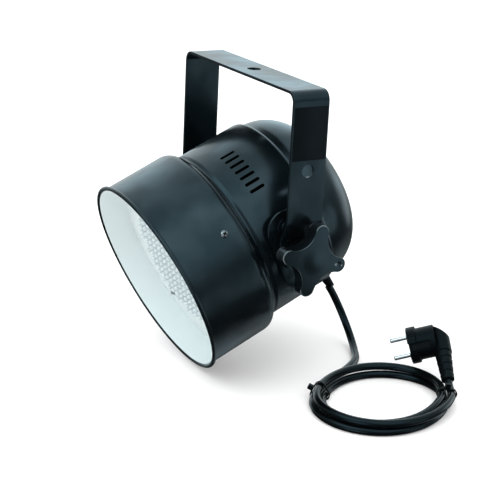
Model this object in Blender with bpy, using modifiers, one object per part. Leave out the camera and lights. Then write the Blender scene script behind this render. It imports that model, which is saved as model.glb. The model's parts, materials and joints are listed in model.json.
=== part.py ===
"""Short LED par can: yoke, tilting can, star knobs, coiled mains lead and angled plug.

World frame in metres: the tilt axis runs along X, +Y is the back of the lamp and +Z is up.
The origin is the centre of the hanging hole, on the top face of the yoke.
"""
import math

import bmesh
import bpy
from mathutils import Matrix, Vector, geometry

GAP = 0.0003  # clearance between pieces that seat on each other
SHEET = 0.0012  # steel sheet of collar, barrel and dome
ROUND_STEPS = 40  # facets round the large shells

# Can, along its axis from the plane of the front rim
PIVOT_AXIAL = 0.1163
REST_TILT = 25.0  # nose down, degrees
COLLAR_RADIUS = 0.1047
COLLAR_LENGTH = 0.080
BEAD_RADIUS = 0.0022
BEAD_OVERHANG = 0.0016
SHOULDER_LENGTH = 0.011
BARREL_STEP = 0.0095  # the barrel is so much smaller in radius than the collar
BARREL_END = 0.161
LIP_RADIUS = 0.005
LIP_TURN = 70.0
DOME_STEP = 0.0046  # and the dome than the barrel
DOME_START = 0.1634
DOME_KNUCKLE = 0.049
DOME_CROWN = 0.165
BACK_FLAT_RADIUS = 0.046
SKIRT_LENGTH = 0.012

# Vent slots in the barrel
SLOT_COUNT = 7
SLOT_LENGTH = 0.017
SLOT_WIDTH = 0.0032
SLOT_PITCH = 5.25  # degrees
SLOT_MIDDLE = 59.0  # degrees above the tilt axis
SLOT_AXIAL = 0.1145

# Light engine behind the front opening
LINER_FRONT = 0.0
LINER_THICKNESS = 0.001
BOARD_AXIAL = 0.0295
BOARD_THICKNESS = 0.0016
LED_PITCH = 0.010
LED_NORM = 39  # lattice norm of the outermost diodes, which gives 151 of them
LED_RADIUS = 0.0025
LED_HEIGHT = 0.0068
LED_TIP = 0.0018
PAN_INSET = 0.030  # from the pan to the collar's rear end
PAN_THICKNESS = 0.0015
STANDOFF_CIRCLE = 0.085
STANDOFF_RADIUS = 0.006

# Electrics on the back of the pan
POST_HEIGHT = 0.008
POST_RADIUS = 0.003
POWER_BOARD = (0.120, 0.060)
POWER_BOARD_RISE = 0.032
DRIVER_BOARD = (0.090, 0.048)
DRIVER_BOARD_DROP = 0.036
TRANSFORMER = (0.040, 0.036, 0.032)
CAPACITOR_RADIUS = 0.011
CAPACITOR_HEIGHT = 0.036
TERMINAL = (0.036, 0.014, 0.014)

# Screws through the shells
SCREW_RADIUS = 0.0018
SCREW_HEAD_RADIUS = 0.0036
SCREW_HEAD_HEIGHT = 0.0020
COLLAR_SCREW_INSET = 0.023
SCREW_REACH = 0.008
REAR_SCREW_INSET = 0.010

# Side plates and pivots
PLATE_LENGTH = 0.090
PLATE_WIDTH = 0.042
PLATE_THICKNESS = 0.003
PLATE_SCREW_OFFSET = 0.028
PLATE_SCREW_RADIUS = 0.0028
PLATE_FLANGE_RADIUS = 0.009
PLATE_FLANGE_HEIGHT = 0.001
PLATE_HEAD_RADIUS = 0.005
PLATE_HEAD_HEIGHT = 0.0016
SPACER_RADIUS = 0.006
FRICTION_WASHER_RADIUS = 0.017
FRICTION_WASHER_THICKNESS = 0.0029
BOLT_RADIUS = 0.004
BOLT_HEAD_RADIUS = 0.0075
BOLT_HEAD_HEIGHT = 0.005
OUTER_WASHER_RADIUS = 0.011
OUTER_WASHER_THICKNESS = 0.0015

# Star knobs
KNOB_RADIUS = 0.0367
KNOB_TIP_RADIUS = 0.0075
KNOB_WAIST_RADIUS = 0.0195
KNOB_LOBE_THICKNESS = 0.0135
KNOB_HUB_LENGTH = 0.0171
KNOB_HUB_RADIUS = 0.0145
KNOB_CROWN_RADIUS = 0.017
KNOB_CROWN_RISE = 0.002
KNOB_EDGE = 0.002
KNOB_REST_TURN = 51.4
INSERT_WALL = 0.002
INSERT_LENGTH = 0.025

# Yoke
STRAP_WIDTH = 0.040
STRAP_THICKNESS = 0.003
YOKE_BEND_RADIUS = 0.011
PIVOT_DROP = 0.1637
JOGGLE_DEPTH = 0.010
JOGGLE_HIGH = 0.032
JOGGLE_LOW = 0.012
JOGGLE_BEND_RADIUS = 0.008
HANG_HOLE_RADIUS = 0.007
SAFETY_HOLE_RADIUS = 0.0065
SAFETY_HOLE_DROP = 0.0785

# Cable gland on the underside of the dome
GLAND_AXIAL = 0.1735
GLAND_STUB_RADIUS = 0.0078
GLAND_FLANGE_RADIUS = 0.0095
GLAND_FLANGE_HEIGHT = 0.0045
GLAND_NUT_HEIGHT = 0.010
GLAND_NUT_RADIUS = 0.009
LOCKNUT_RADIUS = 0.011
LOCKNUT_HEIGHT = 0.004
SLEEVE_LENGTH = 0.020
SLEEVE_RADIUS = 0.0056
SLEEVE_END_RADIUS = 0.0047

# Data sockets on the flat back
SOCKET_SPACING = 0.034
SOCKET_FLANGE = (0.026, 0.031)
SOCKET_FLANGE_THICKNESS = 0.0025
SOCKET_BODY_RADIUS = 0.011
SOCKET_BODY_DEPTH = 0.018
SOCKET_WELL_RADIUS = 0.0093
SOCKET_WELL_DEPTH = 0.012
SOCKET_PIN_RADIUS = 0.0012
SOCKET_PIN_CIRCLE = 0.0045
SOCKET_PIN_RECESS = 0.0055

# Mains lead, coil and plug
CORD_RADIUS = 0.0041
SURFACE_DROP = 0.316  # the surface that the coil lies on, below the hanging hole
FALL_EASE = (0.012, 0.066)  # how far the fall runs on in its first and in its last direction
LEAD_TOUCH = (0.057, 0.112)  # where the lead comes down on the surface
LEAD_TOUCH_HEADING = -29.5  # degrees from +X
RUN_EASE = (0.0215, 0.032)
FALL_STEPS = 7
RUN_STEPS = 5
COIL_CENTRE = (0.1671, 0.0724)
COIL_OUTER = 0.0738
COIL_SPIRAL = 0.0104  # radial step a turn
COIL_OVAL = 0.102  # the coil is longer and shorter by this share
COIL_OVAL_TURN = 59.2  # degrees from the coil's right hand end to its long way
COIL_LAYER = 0.0088
COIL_TURNS = 924.0 / 360.0
COIL_LEAD_IN = 150.0  # degrees from the coil's right hand end
COIL_RIGHT = (0.4844, 0.8748)
COIL_STEPS = 24
TIE_ANGLES = (173.0, 5.0)
TIE_ROOM = 0.0003  # between band and strands, beyond the gap
TIE_WIDTH = 0.0036
TIE_THICKNESS = 0.0011
TIE_HEAD = (0.0055, 0.0050, 0.0046)
PLUG_PLACE = (0.1765, 0.1472, 0.017)  # where the lead enters the boot, from the surface up
PLUG_EASE = (0.010, 0.015)
PLUG_BEND_STEPS = 5
PLUG_RISE = 31.5
PLUG_HEADING = 157.0
PLUG_ROLL = 22.0
PLUG_RADIUS = 0.0195
PLUG_RIM_DEPTH = 0.009
PLUG_WAIST_RADIUS = 0.0170
PLUG_BASE_DEPTH = 0.029
PLUG_EDGE = 0.0008
PLUG_COLUMN_RADIUS = 0.0095
PLUG_COLUMN_DEPTH = 0.0335
PLUG_COLUMN_TOP = 0.0168
PLUG_COLUMN_EDGE = 0.001
PLUG_SLOPE = 42.0  # degrees that the column's top falls towards its back
PLUG_SLOPE_DEPTH = 0.024
BOOT_START = 0.019
BOOT_LENGTH = 0.034
BOOT_RADIUS = 0.0088
BOOT_END_RADIUS = 0.0066
BOOT_GROOVES = 3
BOOT_GROOVE_SHARE = 0.28
BOOT_GROOVE_DEPTH = 0.0009
PIN_RADIUS = 0.0024
PIN_LENGTH = 0.019
PIN_ROOT = 0.004
PIN_SPACING = 0.019
EARTH_NOTCH = (0.0034, 0.0095, 0.022)
EARTH_CLIP = (0.0010, 0.0060, 0.019)

# Places that follow from the sizes above
BARREL_RADIUS = COLLAR_RADIUS - BARREL_STEP
DOME_RADIUS = BARREL_RADIUS - DOME_STEP
COLLAR_BORE = COLLAR_RADIUS - SHEET
COLLAR_SCREW_AXIAL = COLLAR_LENGTH - COLLAR_SCREW_INSET
PAN_AXIAL = COLLAR_LENGTH - PAN_INSET
FLANGE_AXIAL = COLLAR_LENGTH - SHOULDER_LENGTH - 2 * SHEET
PLATE_INNER = BARREL_RADIUS + GAP
PLATE_OUTER = PLATE_INNER + PLATE_THICKNESS
ARM_INNER = PLATE_OUTER + FRICTION_WASHER_THICKNESS + 2 * GAP
ARM_OUTER = ARM_INNER + STRAP_THICKNESS
WASHER_OUTER = ARM_OUTER + GAP + OUTER_WASHER_THICKNESS
KNOB_BASE = WASHER_OUTER + GAP
YOKE_HALF_SPAN = ARM_OUTER + JOGGLE_DEPTH
SURFACE = -SURFACE_DROP
BOLT_HOLE = BOLT_RADIUS + GAP
SCREW_HOLE = SCREW_RADIUS + GAP

parts = bpy.data.collections.new("led_par_can")
cutters = bpy.data.collections.new("cutters")
materials = {}


def clear_scene():
    """Remove what the scene holds and link the two collections."""
    for old in list(bpy.data.objects):
        bpy.data.objects.remove(old, do_unlink=True)
    bpy.context.scene.collection.children.link(parts)
    bpy.context.scene.collection.children.link(cutters)


def make_materials():
    """One Principled BSDF for each finish: colour, roughness and metallic value."""
    finishes = {
        "black_powder_coat": ((0.018, 0.021, 0.024), 0.42, 0.3),
        "black_plastic": ((0.016, 0.018, 0.020), 0.50, 0.0),
        "black_rubber": ((0.014, 0.015, 0.016), 0.62, 0.0),
        "white_liner": ((0.82, 0.84, 0.86), 0.55, 0.0),
        "white_board": ((0.78, 0.81, 0.84), 0.45, 0.0),
        "green_board": ((0.03, 0.16, 0.07), 0.45, 0.0),
        "zinc_steel": ((0.62, 0.62, 0.60), 0.32, 1.0),
        "brass": ((0.74, 0.56, 0.28), 0.35, 1.0),
        "plain_steel": ((0.50, 0.51, 0.52), 0.40, 1.0),
    }
    for name, (colour, roughness, metallic) in finishes.items():
        material = bpy.data.materials.new(name)
        material.use_nodes = True
        shader = material.node_tree.nodes["Principled BSDF"]
        shader.inputs["Base Color"].default_value = (*colour, 1.0)
        shader.inputs["Roughness"].default_value = roughness
        shader.inputs["Metallic"].default_value = metallic
        materials[name] = material


def place(data, name, finish, parent=None, matrix=None):
    """Add an object to the parts, with its finish, in its parent's frame."""
    thing = bpy.data.objects.new(name, data)
    parts.objects.link(thing)
    data.materials.append(materials[finish])
    thing.parent = parent
    if matrix is not None:
        thing.matrix_local = matrix
    return thing


def as_cutter(thing):
    """Move an object to the cutters, which are not parts."""
    parts.objects.unlink(thing)
    cutters.objects.link(thing)
    thing.hide_render = True
    thing.display_type = "WIRE"
    return thing


def boolean(thing, other, operation="DIFFERENCE"):
    """Cut or join another object, which becomes a cutter."""
    if other.name not in cutters.objects:
        as_cutter(other)
    modifier = thing.modifiers.new(operation.lower(), "BOOLEAN")
    modifier.operation = operation
    modifier.object = other
    return thing


def empty(name, matrix, parent=None):
    """A frame that pieces are placed in."""
    frame = bpy.data.objects.new(name, None)
    parts.objects.link(frame)
    frame.parent = parent
    frame.matrix_local = matrix
    return frame


def frame_matrix(origin, x_axis, y_axis, z_axis):
    """A placement matrix from an origin and three axes."""
    turn = Matrix((x_axis, y_axis, z_axis)).transposed().to_4x4()
    return Matrix.Translation(origin) @ turn


def from_bmesh(bm, name, finish, parent=None, matrix=None):
    """Turn a bmesh into a placed object, smooth where its faces meet gently."""
    mesh = bpy.data.meshes.new(name)
    bmesh.ops.recalc_face_normals(bm, faces=bm.faces)
    bm.to_mesh(mesh)
    bm.free()
    mesh.shade_smooth()
    mesh.set_sharp_from_angle(angle=math.radians(35.0))
    return place(mesh, name, finish, parent, matrix)


def box(name, size, finish, parent=None, centre=(0, 0, 0)):
    """A rectangular block about its centre."""
    bm = bmesh.new()
    bmesh.ops.create_cube(bm, size=1.0)
    bmesh.ops.scale(bm, vec=Vector(size), verts=bm.verts)
    return from_bmesh(bm, name, finish, parent, Matrix.Translation(centre))


def rod(name, radius, low, high, finish, parent=None, matrix=None, steps=16):
    """A cylinder along local Z from low to high."""
    bm = bmesh.new()
    middle = Matrix.Translation((0, 0, (low + high) / 2))
    bmesh.ops.create_cone(bm, cap_ends=True, segments=steps, radius1=radius, radius2=radius,
                          depth=high - low, matrix=middle)
    return from_bmesh(bm, name, finish, parent, matrix)


def arc(centre, radii, start, end, steps):
    """Points (r, z) of an arc or a quarter ellipse; angles in degrees from +r towards +z."""
    points = []
    for step in range(steps + 1):
        angle = math.radians(start + (end - start) * step / steps)
        points.append((centre[0] + radii[0] * math.cos(angle), centre[1] + radii[1] * math.sin(angle)))
    return points


def turned(name, profile, finish, parent=None, matrix=None, steps=24, closed=False):
    """Revolve a profile of (radius, z) points about local Z with a Screw modifier."""
    ring = profile + profile[:1]
    area = sum(a[0] * b[1] - b[0] * a[1] for a, b in zip(ring, ring[1:]))
    ordered = profile if area < 0 else profile[::-1]
    mesh = bpy.data.meshes.new(name)
    edges = [(i, i + 1) for i in range(len(ordered) - 1)]
    if closed:
        edges.append((len(ordered) - 1, 0))
    mesh.from_pydata([(r, 0.0, z) for r, z in ordered], edges, [])
    thing = place(mesh, name, finish, parent, matrix)
    screw = thing.modifiers.new("turn", "SCREW")
    screw.steps = steps
    screw.render_steps = steps
    screw.use_merge_vertices = True
    screw.merge_threshold = 0.00001
    screw.use_smooth_shade = True
    return thing


def flat_shape(name, outlines, low, high, finish, parent=None, matrix=None):
    """A flat outline, with any holes, as a plate from z = low to z = high."""
    curve = bpy.data.curves.new(name + "_outline", "CURVE")
    curve.dimensions = "2D"
    curve.fill_mode = "BOTH"
    curve.extrude = (high - low) / 2
    for outline in outlines:
        spline = curve.splines.new("POLY")
        spline.points.add(len(outline) - 1)
        for point, (x, y) in zip(spline.points, outline):
            point.co = (x, y, 0.0, 1.0)
        spline.use_cyclic_u = True
    guide = bpy.data.objects.new(name + "_guide", curve)
    parts.objects.link(guide)
    view = bpy.context.evaluated_depsgraph_get()
    mesh = bpy.data.meshes.new_from_object(guide.evaluated_get(view))
    bpy.data.objects.remove(guide, do_unlink=True)
    bm = bmesh.new()
    bm.from_mesh(mesh)
    bmesh.ops.remove_doubles(bm, verts=bm.verts, dist=0.000001)
    bmesh.ops.translate(bm, verts=bm.verts, vec=(0, 0, (low + high) / 2))
    return from_bmesh(bm, name, finish, parent, matrix)


def tube(name, points, radius, finish, resolution):
    """A round cord through points, with closed ends."""
    curve = bpy.data.curves.new(name, "CURVE")
    curve.dimensions = "3D"
    curve.bevel_depth = radius
    curve.bevel_resolution = resolution
    curve.use_fill_caps = True
    spline = curve.splines.new("POLY")
    spline.points.add(len(points) - 1)
    for point, place_at in zip(spline.points, points):
        point.co = (*place_at, 1.0)
    return place(curve, name, finish)


def stadium(length, width, steps=5):
    """An oblong outline with round ends, long in y."""
    radius = width / 2
    reach = length / 2 - radius
    return arc((0, reach), (radius, radius), 0, 180, steps) + arc((0, -reach), (radius, radius), 180, 360, steps)


def circle(radius, steps=16, centre=(0, 0)):
    """A round outline."""
    return arc(centre, (radius, radius), 0, 360, steps)[:-1]


def bevel(thing, width, segments=2):
    """Round the sharp edges of a piece."""
    modifier = thing.modifiers.new("edge", "BEVEL")
    modifier.width = width
    modifier.segments = segments
    modifier.limit_method = "ANGLE"
    modifier.angle_limit = math.radians(40.0)
    modifier.harden_normals = False


def along(direction, origin=(0, 0, 0), guide=(0, 0, 1)):
    """A matrix whose local Z runs along a direction."""
    z_axis = Vector(direction).normalized()
    side = Vector(guide) if abs(z_axis.dot(Vector(guide))) < 0.9 else Vector((1, 0, 0))
    x_axis = side.cross(z_axis).normalized()
    return frame_matrix(Vector(origin), x_axis, z_axis.cross(x_axis), z_axis)


def axial(distance):
    """Local z of a place along the can, from its distance behind the rim."""
    return distance - PIVOT_AXIAL


def collar_profile():
    """Rolled bead, straight wall and rounded shoulder of the front collar, as one closed loop."""
    bead = (COLLAR_BORE + BEAD_RADIUS, axial(BEAD_RADIUS - BEAD_OVERHANG))
    spread = math.degrees(math.acos((bead[0] - COLLAR_RADIUS) / BEAD_RADIUS))
    rolled = arc(bead, (BEAD_RADIUS, BEAD_RADIUS), 180, 540 - spread, 8)
    shoulder = axial(COLLAR_LENGTH - SHOULDER_LENGTH)
    seat = BARREL_RADIUS + GAP
    outer = arc((seat, shoulder), (COLLAR_RADIUS - seat, SHOULDER_LENGTH), 0, 90, 4)
    inner = arc((seat, shoulder), (COLLAR_BORE - seat, SHOULDER_LENGTH - SHEET), 90, 0, 3)
    return inner + rolled + outer


def barrel_profile():
    """Front flange, straight wall and turned in rear lip of the barrel, as one closed loop."""
    centre = (BARREL_RADIUS - LIP_RADIUS, axial(BARREL_END) - LIP_RADIUS)
    outer = arc(centre, (LIP_RADIUS, LIP_RADIUS), 0, LIP_TURN, 3)
    inner = arc(centre, (LIP_RADIUS - SHEET, LIP_RADIUS - SHEET), LIP_TURN, 0, 2)
    front = axial(FLANGE_AXIAL)
    flange = COLLAR_BORE - GAP
    bore = BARREL_RADIUS - SHEET
    return outer + inner + [(bore, front), (flange, front), (flange, front + SHEET), (BARREL_RADIUS, front + SHEET)]


def dome_side(offset):
    """One side of the dome's sheet from skirt to flat back; offset is the depth below the outer face."""
    lip = (BARREL_RADIUS - LIP_RADIUS, axial(BARREL_END) - LIP_RADIUS)
    turn = LIP_RADIUS - SHEET - GAP - offset
    skirt = [(BARREL_RADIUS - SHEET - GAP - offset, lip[1] - SKIRT_LENGTH)]
    knuckle = (DOME_RADIUS - DOME_KNUCKLE, axial(DOME_START))
    crown = knuckle[1] - math.sqrt((DOME_CROWN - DOME_KNUCKLE) ** 2 - knuckle[0] ** 2)
    meeting = math.degrees(math.atan2(knuckle[1] - crown, knuckle[0]))
    crown_radius = DOME_CROWN - offset
    edge = math.degrees(math.acos(BACK_FLAT_RADIUS / crown_radius))
    return skirt + arc(lip, (turn, turn), 0, LIP_TURN + 5, 2) \
        + arc(knuckle, (DOME_KNUCKLE - offset, DOME_KNUCKLE - offset), 0, meeting, 5) \
        + arc((0.0, crown), (crown_radius, crown_radius), meeting, edge, 2)[1:]


def back_face():
    """Local z of the flat back's outer face."""
    return dome_side(0.0)[-1][1]


def dome_profile():
    """The dome's sheet, from the axis along the outer face to the skirt and back inside."""
    outer = dome_side(0.0)
    inner = dome_side(SHEET)
    flat = [(0.0, outer[-1][1])]
    return flat + outer[::-1] + inner + [(0.0, inner[-1][1])]


def radial_matrix(angle, distance):
    """Local Z points out of the can's side; the angle runs from +X downwards, in degrees."""
    turn = math.radians(angle)
    outward = Vector((math.cos(turn), math.sin(turn), 0.0))
    return along(outward, (0, 0, axial(distance)))


def shell_screw(name, can, angle, distance, surface):
    """A pan head screw from outside, through a shell and what lies below it."""
    seat = surface + GAP
    tip = surface - 0.008
    profile = [(0.0, tip), (SCREW_RADIUS, tip), (SCREW_RADIUS, seat), (SCREW_HEAD_RADIUS, seat),
               (SCREW_HEAD_RADIUS * 0.85, seat + SCREW_HEAD_HEIGHT * 0.7), (0.0, seat + SCREW_HEAD_HEIGHT)]
    return turned(name, profile, "zinc_steel", can, radial_matrix(angle, distance), steps=10)


def shell_hole(thing, can, angle, distance, radius):
    """Drill a round hole through a shell, square to the can's side."""
    drill = rod(thing.name + "_drill", radius, 0.07, 0.13, "zinc_steel", can,
                radial_matrix(angle, distance), steps=10)
    boolean(thing, drill)


def make_vents(barrel, can):
    """Two groups of slots, left and right of the top, cut along the can."""
    outline = stadium(SLOT_LENGTH, SLOT_WIDTH, 4)
    for side in (-1, 1):
        for index in range(SLOT_COUNT):
            spread = (index - (SLOT_COUNT - 1) / 2) * SLOT_PITCH
            angle = math.radians(-90.0 + side * (90.0 - SLOT_MIDDLE) + spread)
            outward = Vector((math.cos(angle), math.sin(angle), 0))
            matrix = frame_matrix(Vector((0, 0, axial(SLOT_AXIAL))), outward.cross((0, 0, 1)) * -1,
                                  Vector((0, 0, 1)), outward)
            slot = flat_shape("slot_cutter", [outline], BARREL_RADIUS - 0.01, BARREL_RADIUS + 0.01,
                              "zinc_steel", can, matrix)
            boolean(barrel, slot)


def make_shells(can):
    """Front collar, barrel with vents, rear dome and the screws that hold them."""
    collar = turned("front_collar", collar_profile(), "black_powder_coat", can, steps=ROUND_STEPS, closed=True)
    barrel = turned("barrel", barrel_profile(), "black_powder_coat", can, steps=ROUND_STEPS, closed=True)
    dome = turned("rear_dome", dome_profile(), "black_powder_coat", can, steps=ROUND_STEPS)
    make_vents(barrel, can)
    for index, angle in enumerate((-30.0, 90.0, 210.0), start=1):
        shell_hole(collar, can, angle, COLLAR_SCREW_AXIAL, SCREW_HOLE)
        shell_screw(f"collar_screw_{index}", can, angle, COLLAR_SCREW_AXIAL, COLLAR_RADIUS)
    rear_screw = BARREL_END - REAR_SCREW_INSET
    for index, angle in enumerate((0.0, 90.0, 180.0), start=1):
        shell_hole(barrel, can, angle, rear_screw, SCREW_HOLE)
        shell_hole(dome, can, angle, rear_screw, SCREW_HOLE)
        shell_screw(f"rear_screw_{index}", can, angle, rear_screw, BARREL_RADIUS)
    return collar, barrel, dome


def make_light_engine(can):
    """White liner, diode board and the pan that carries the boards."""
    seat = COLLAR_BORE - GAP
    front = axial(LINER_FRONT)
    board_front = axial(BOARD_AXIAL)
    board_back = board_front + BOARD_THICKNESS
    liner = [(seat, front), (seat, board_front - GAP), (seat - LINER_THICKNESS, board_front - GAP),
             (seat - LINER_THICKNESS, front)]
    turned("white_liner", liner, "white_liner", can, steps=ROUND_STEPS, closed=True)
    board = rod("led_board", seat - GAP, board_front, board_back, "white_board", can, steps=ROUND_STEPS)
    bm = bmesh.new()
    reach = int(math.sqrt(LED_NORM)) + 3
    row = math.sqrt(3.0) / 2
    for i in range(-reach, reach + 1):
        for j in range(-reach, reach + 1):
            if i * i + i * j + j * j <= LED_NORM:
                centre = ((i + j / 2) * LED_PITCH, j * row * LED_PITCH, board_front - LED_HEIGHT / 2 + BOARD_THICKNESS / 4)
                bmesh.ops.create_cone(bm, cap_ends=True, segments=5, radius1=LED_RADIUS, radius2=LED_RADIUS,
                                      depth=LED_HEIGHT + BOARD_THICKNESS / 2, matrix=Matrix.Translation(centre))
    bmesh.ops.recalc_face_normals(bm, faces=bm.faces)
    tips = [face for face in bm.faces if face.normal.z < -0.9]
    poked = bmesh.ops.poke(bm, faces=tips, offset=0.0)
    bmesh.ops.translate(bm, verts=poked["verts"], vec=(0, 0, -LED_TIP))
    boolean(board, from_bmesh(bm, "diodes", "white_board", can), "UNION")
    make_pan(can, board, board_back)


def make_pan(can, board, board_back):
    """The steel pan with its rim, standoffs and posts, and the screws of the diode board."""
    front = axial(PAN_AXIAL)
    back = front + PAN_THICKNESS
    seat = COLLAR_BORE - GAP
    rim = axial(FLANGE_AXIAL) - GAP
    profile = [(0.0, front), (seat, front), (seat, rim), (seat - PAN_THICKNESS, rim),
               (seat - PAN_THICKNESS, back), (0.0, back)]
    pan = turned("chassis_pan", profile, "plain_steel", can, steps=ROUND_STEPS)
    for angle in (-30.0, 90.0, 210.0):
        shell_hole(pan, can, angle, COLLAR_SCREW_AXIAL, SCREW_HOLE)
    for index in range(4):
        turn = math.radians(45 + 90 * index)
        x = STANDOFF_CIRCLE * math.cos(turn)
        y = STANDOFF_CIRCLE * math.sin(turn)
        here = Matrix.Translation((x, y, 0))
        standoff = rod("standoff", STANDOFF_RADIUS, board_back + GAP, front + PAN_THICKNESS / 2, "plain_steel",
                       can, here, steps=8)
        boolean(pan, standoff, "UNION")
        drill = rod("board_drill", SCREW_HOLE, board_back - 0.004, board_back + 0.010, "plain_steel", can, here,
                    steps=8)
        boolean(pan, drill)
        boolean(board, drill)
        seat_z = axial(BOARD_AXIAL) - GAP
        tip = board_back + 0.008
        screw = [(0.0, tip), (SCREW_RADIUS, tip), (SCREW_RADIUS, seat_z), (SCREW_HEAD_RADIUS, seat_z),
                 (SCREW_HEAD_RADIUS * 0.85, seat_z - SCREW_HEAD_HEIGHT * 0.7), (0.0, seat_z - SCREW_HEAD_HEIGHT)]
        turned(f"board_screw_{index + 1}", screw, "zinc_steel", can, here, steps=8)
    make_electrics(can, pan, back)


def board_posts(pan, can, size, centre_y, back):
    """Four posts under the corners of a circuit board, joined to the pan."""
    inset = 2 * POST_RADIUS
    for x_side in (-1, 1):
        for y_side in (-1, 1):
            here = Matrix.Translation((x_side * (size[0] / 2 - inset), centre_y + y_side * (size[1] / 2 - inset), 0))
            post = rod("post", POST_RADIUS, back - PAN_THICKNESS / 2, back + POST_HEIGHT, "plain_steel", can, here,
                       steps=6)
            boolean(pan, post, "UNION")


def make_electrics(can, pan, back):
    """Power board with its transformer, capacitors and terminals, and the driver board."""
    base = back + POST_HEIGHT + GAP
    top = base + BOARD_THICKNESS + GAP
    power_y = -POWER_BOARD_RISE
    driver_y = DRIVER_BOARD_DROP
    board_posts(pan, can, POWER_BOARD, power_y, back)
    board_posts(pan, can, DRIVER_BOARD, driver_y, back)
    middle = base + BOARD_THICKNESS / 2
    box("power_board", (*POWER_BOARD, BOARD_THICKNESS), "green_board", can, (0, power_y, middle))
    box("driver_board", (*DRIVER_BOARD, BOARD_THICKNESS), "green_board", can, (0, driver_y, middle))
    core = box("transformer", TRANSFORMER, "plain_steel", can,
               (-POWER_BOARD[0] / 4, power_y, top + TRANSFORMER[2] / 2))
    bevel(core, 0.002, 1)
    for index in range(2):
        here = Matrix.Translation((POWER_BOARD[0] * (0.1 + 0.25 * index), power_y - POWER_BOARD[1] / 4, 0))
        can_top = top + CAPACITOR_HEIGHT
        profile = [(0.0, top), (CAPACITOR_RADIUS, top), (CAPACITOR_RADIUS, can_top - 0.001),
                   (CAPACITOR_RADIUS - 0.001, can_top), (0.0, can_top)]
        turned(f"capacitor_{index + 1}", profile, "black_plastic", can, here, steps=14)
    box("terminal_block", TERMINAL, "white_board", can,
        (POWER_BOARD[0] / 4, power_y + POWER_BOARD[1] / 4, top + TERMINAL[2] / 2))


def star_outline():
    """Four round lobes joined by hollow flanks, from the lobe and waist radii."""
    reach = KNOB_RADIUS - KNOB_TIP_RADIUS
    half = math.sqrt(0.5)
    top = reach ** 2 - (KNOB_TIP_RADIUS - KNOB_WAIST_RADIUS) ** 2
    hollow = top / (2 * (half * reach + KNOB_TIP_RADIUS - KNOB_WAIST_RADIUS))
    flank = hollow - KNOB_WAIST_RADIUS
    spread = math.degrees(math.atan2(hollow * half, hollow * half - reach))
    outline = []
    for index in range(4):
        turn = 90.0 * index
        tip = (reach * math.cos(math.radians(turn)), reach * math.sin(math.radians(turn)))
        outline += arc(tip, (KNOB_TIP_RADIUS, KNOB_TIP_RADIUS), turn - spread, turn + spread, 6)
        middle = math.radians(turn + 45)
        centre = (hollow * math.cos(middle), hollow * math.sin(middle))
        outline += arc(centre, (flank, flank), turn + spread + 180, turn + 270 - spread, 4)[1:-1]
    return outline


def make_side(name, sign, can, barrel):
    """Side plate, screws, washers, pivot bolt and knob of one side; local Z points outwards."""
    x_axis = Vector((0, 0, sign))
    side = empty(f"pivot_axis_{name}", frame_matrix(Vector(), x_axis, Vector((0, -1, 0)), Vector((sign, 0, 0))), can)
    holes = [circle(BOLT_HOLE)]
    for end in (-1, 1):
        holes.append(circle(PLATE_SCREW_RADIUS + GAP, 12, (0, end * PLATE_SCREW_OFFSET)))
    plate = flat_shape(f"side_plate_{name}", [stadium(PLATE_LENGTH, PLATE_WIDTH, 8)] + holes, PLATE_INNER,
                       PLATE_OUTER, "black_powder_coat", side)
    saddle = rod("saddle", BARREL_RADIUS + GAP, axial(0.05), axial(0.2), "zinc_steel", can, steps=ROUND_STEPS)
    for index, end in enumerate((1, -1), start=1):
        centre = (0, end * PLATE_SCREW_OFFSET)
        spacer = flat_shape("spacer", [circle(SPACER_RADIUS, 12, centre),
                                       circle(PLATE_SCREW_RADIUS + GAP, 12, centre)],
                            BARREL_RADIUS * 0.9, PLATE_INNER + PLATE_THICKNESS / 3, "zinc_steel", side)
        boolean(spacer, saddle)
        boolean(plate, spacer, "UNION")
        here = Matrix.Translation((*centre, 0))
        drill = rod("plate_drill", PLATE_SCREW_RADIUS + GAP, 0.07, 0.12, "zinc_steel", side, here, steps=12)
        boolean(barrel, drill)
        seat = PLATE_OUTER + GAP
        flange = seat + PLATE_FLANGE_HEIGHT
        tip = BARREL_RADIUS * 0.88
        profile = [(0.0, tip), (PLATE_SCREW_RADIUS, tip), (PLATE_SCREW_RADIUS, seat), (PLATE_FLANGE_RADIUS, seat),
                   (PLATE_FLANGE_RADIUS, flange), (PLATE_HEAD_RADIUS, flange),
                   (PLATE_HEAD_RADIUS, flange + PLATE_HEAD_HEIGHT * 0.6),
                   (PLATE_HEAD_RADIUS * 0.7, flange + PLATE_HEAD_HEIGHT), (0.0, flange + PLATE_HEAD_HEIGHT)]
        turned(f"plate_screw_{name}_{index}", profile, "black_powder_coat", side, here, steps=10)
    boolean(barrel, rod("bolt_drill", BOLT_HOLE, 0.07, 0.12, "zinc_steel", side, steps=16))
    flat_shape(f"friction_washer_{name}", [circle(FRICTION_WASHER_RADIUS, 20), circle(BOLT_HOLE)],
               PLATE_OUTER + GAP, ARM_INNER - GAP, "black_rubber", side)
    flat_shape(f"outer_washer_{name}", [circle(OUTER_WASHER_RADIUS, 16), circle(BOLT_HOLE)],
               ARM_OUTER + GAP, WASHER_OUTER, "zinc_steel", side)
    make_bolt(name, side)
    make_knob(name, side)


def make_bolt(name, side):
    """Hexagon head bolt from inside the barrel to the inside of the knob."""
    inner = math.sqrt((BARREL_RADIUS - SHEET) ** 2 - BOLT_HEAD_RADIUS ** 2) - GAP
    bolt = rod(f"pivot_bolt_{name}", BOLT_RADIUS, inner - BOLT_HEAD_HEIGHT / 2, KNOB_BASE + INSERT_LENGTH - 0.002,
               "zinc_steel", side, steps=12)
    head = rod("bolt_head", BOLT_HEAD_RADIUS, inner - BOLT_HEAD_HEIGHT, inner, "zinc_steel", side, steps=6)
    boolean(bolt, head, "UNION")


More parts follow.
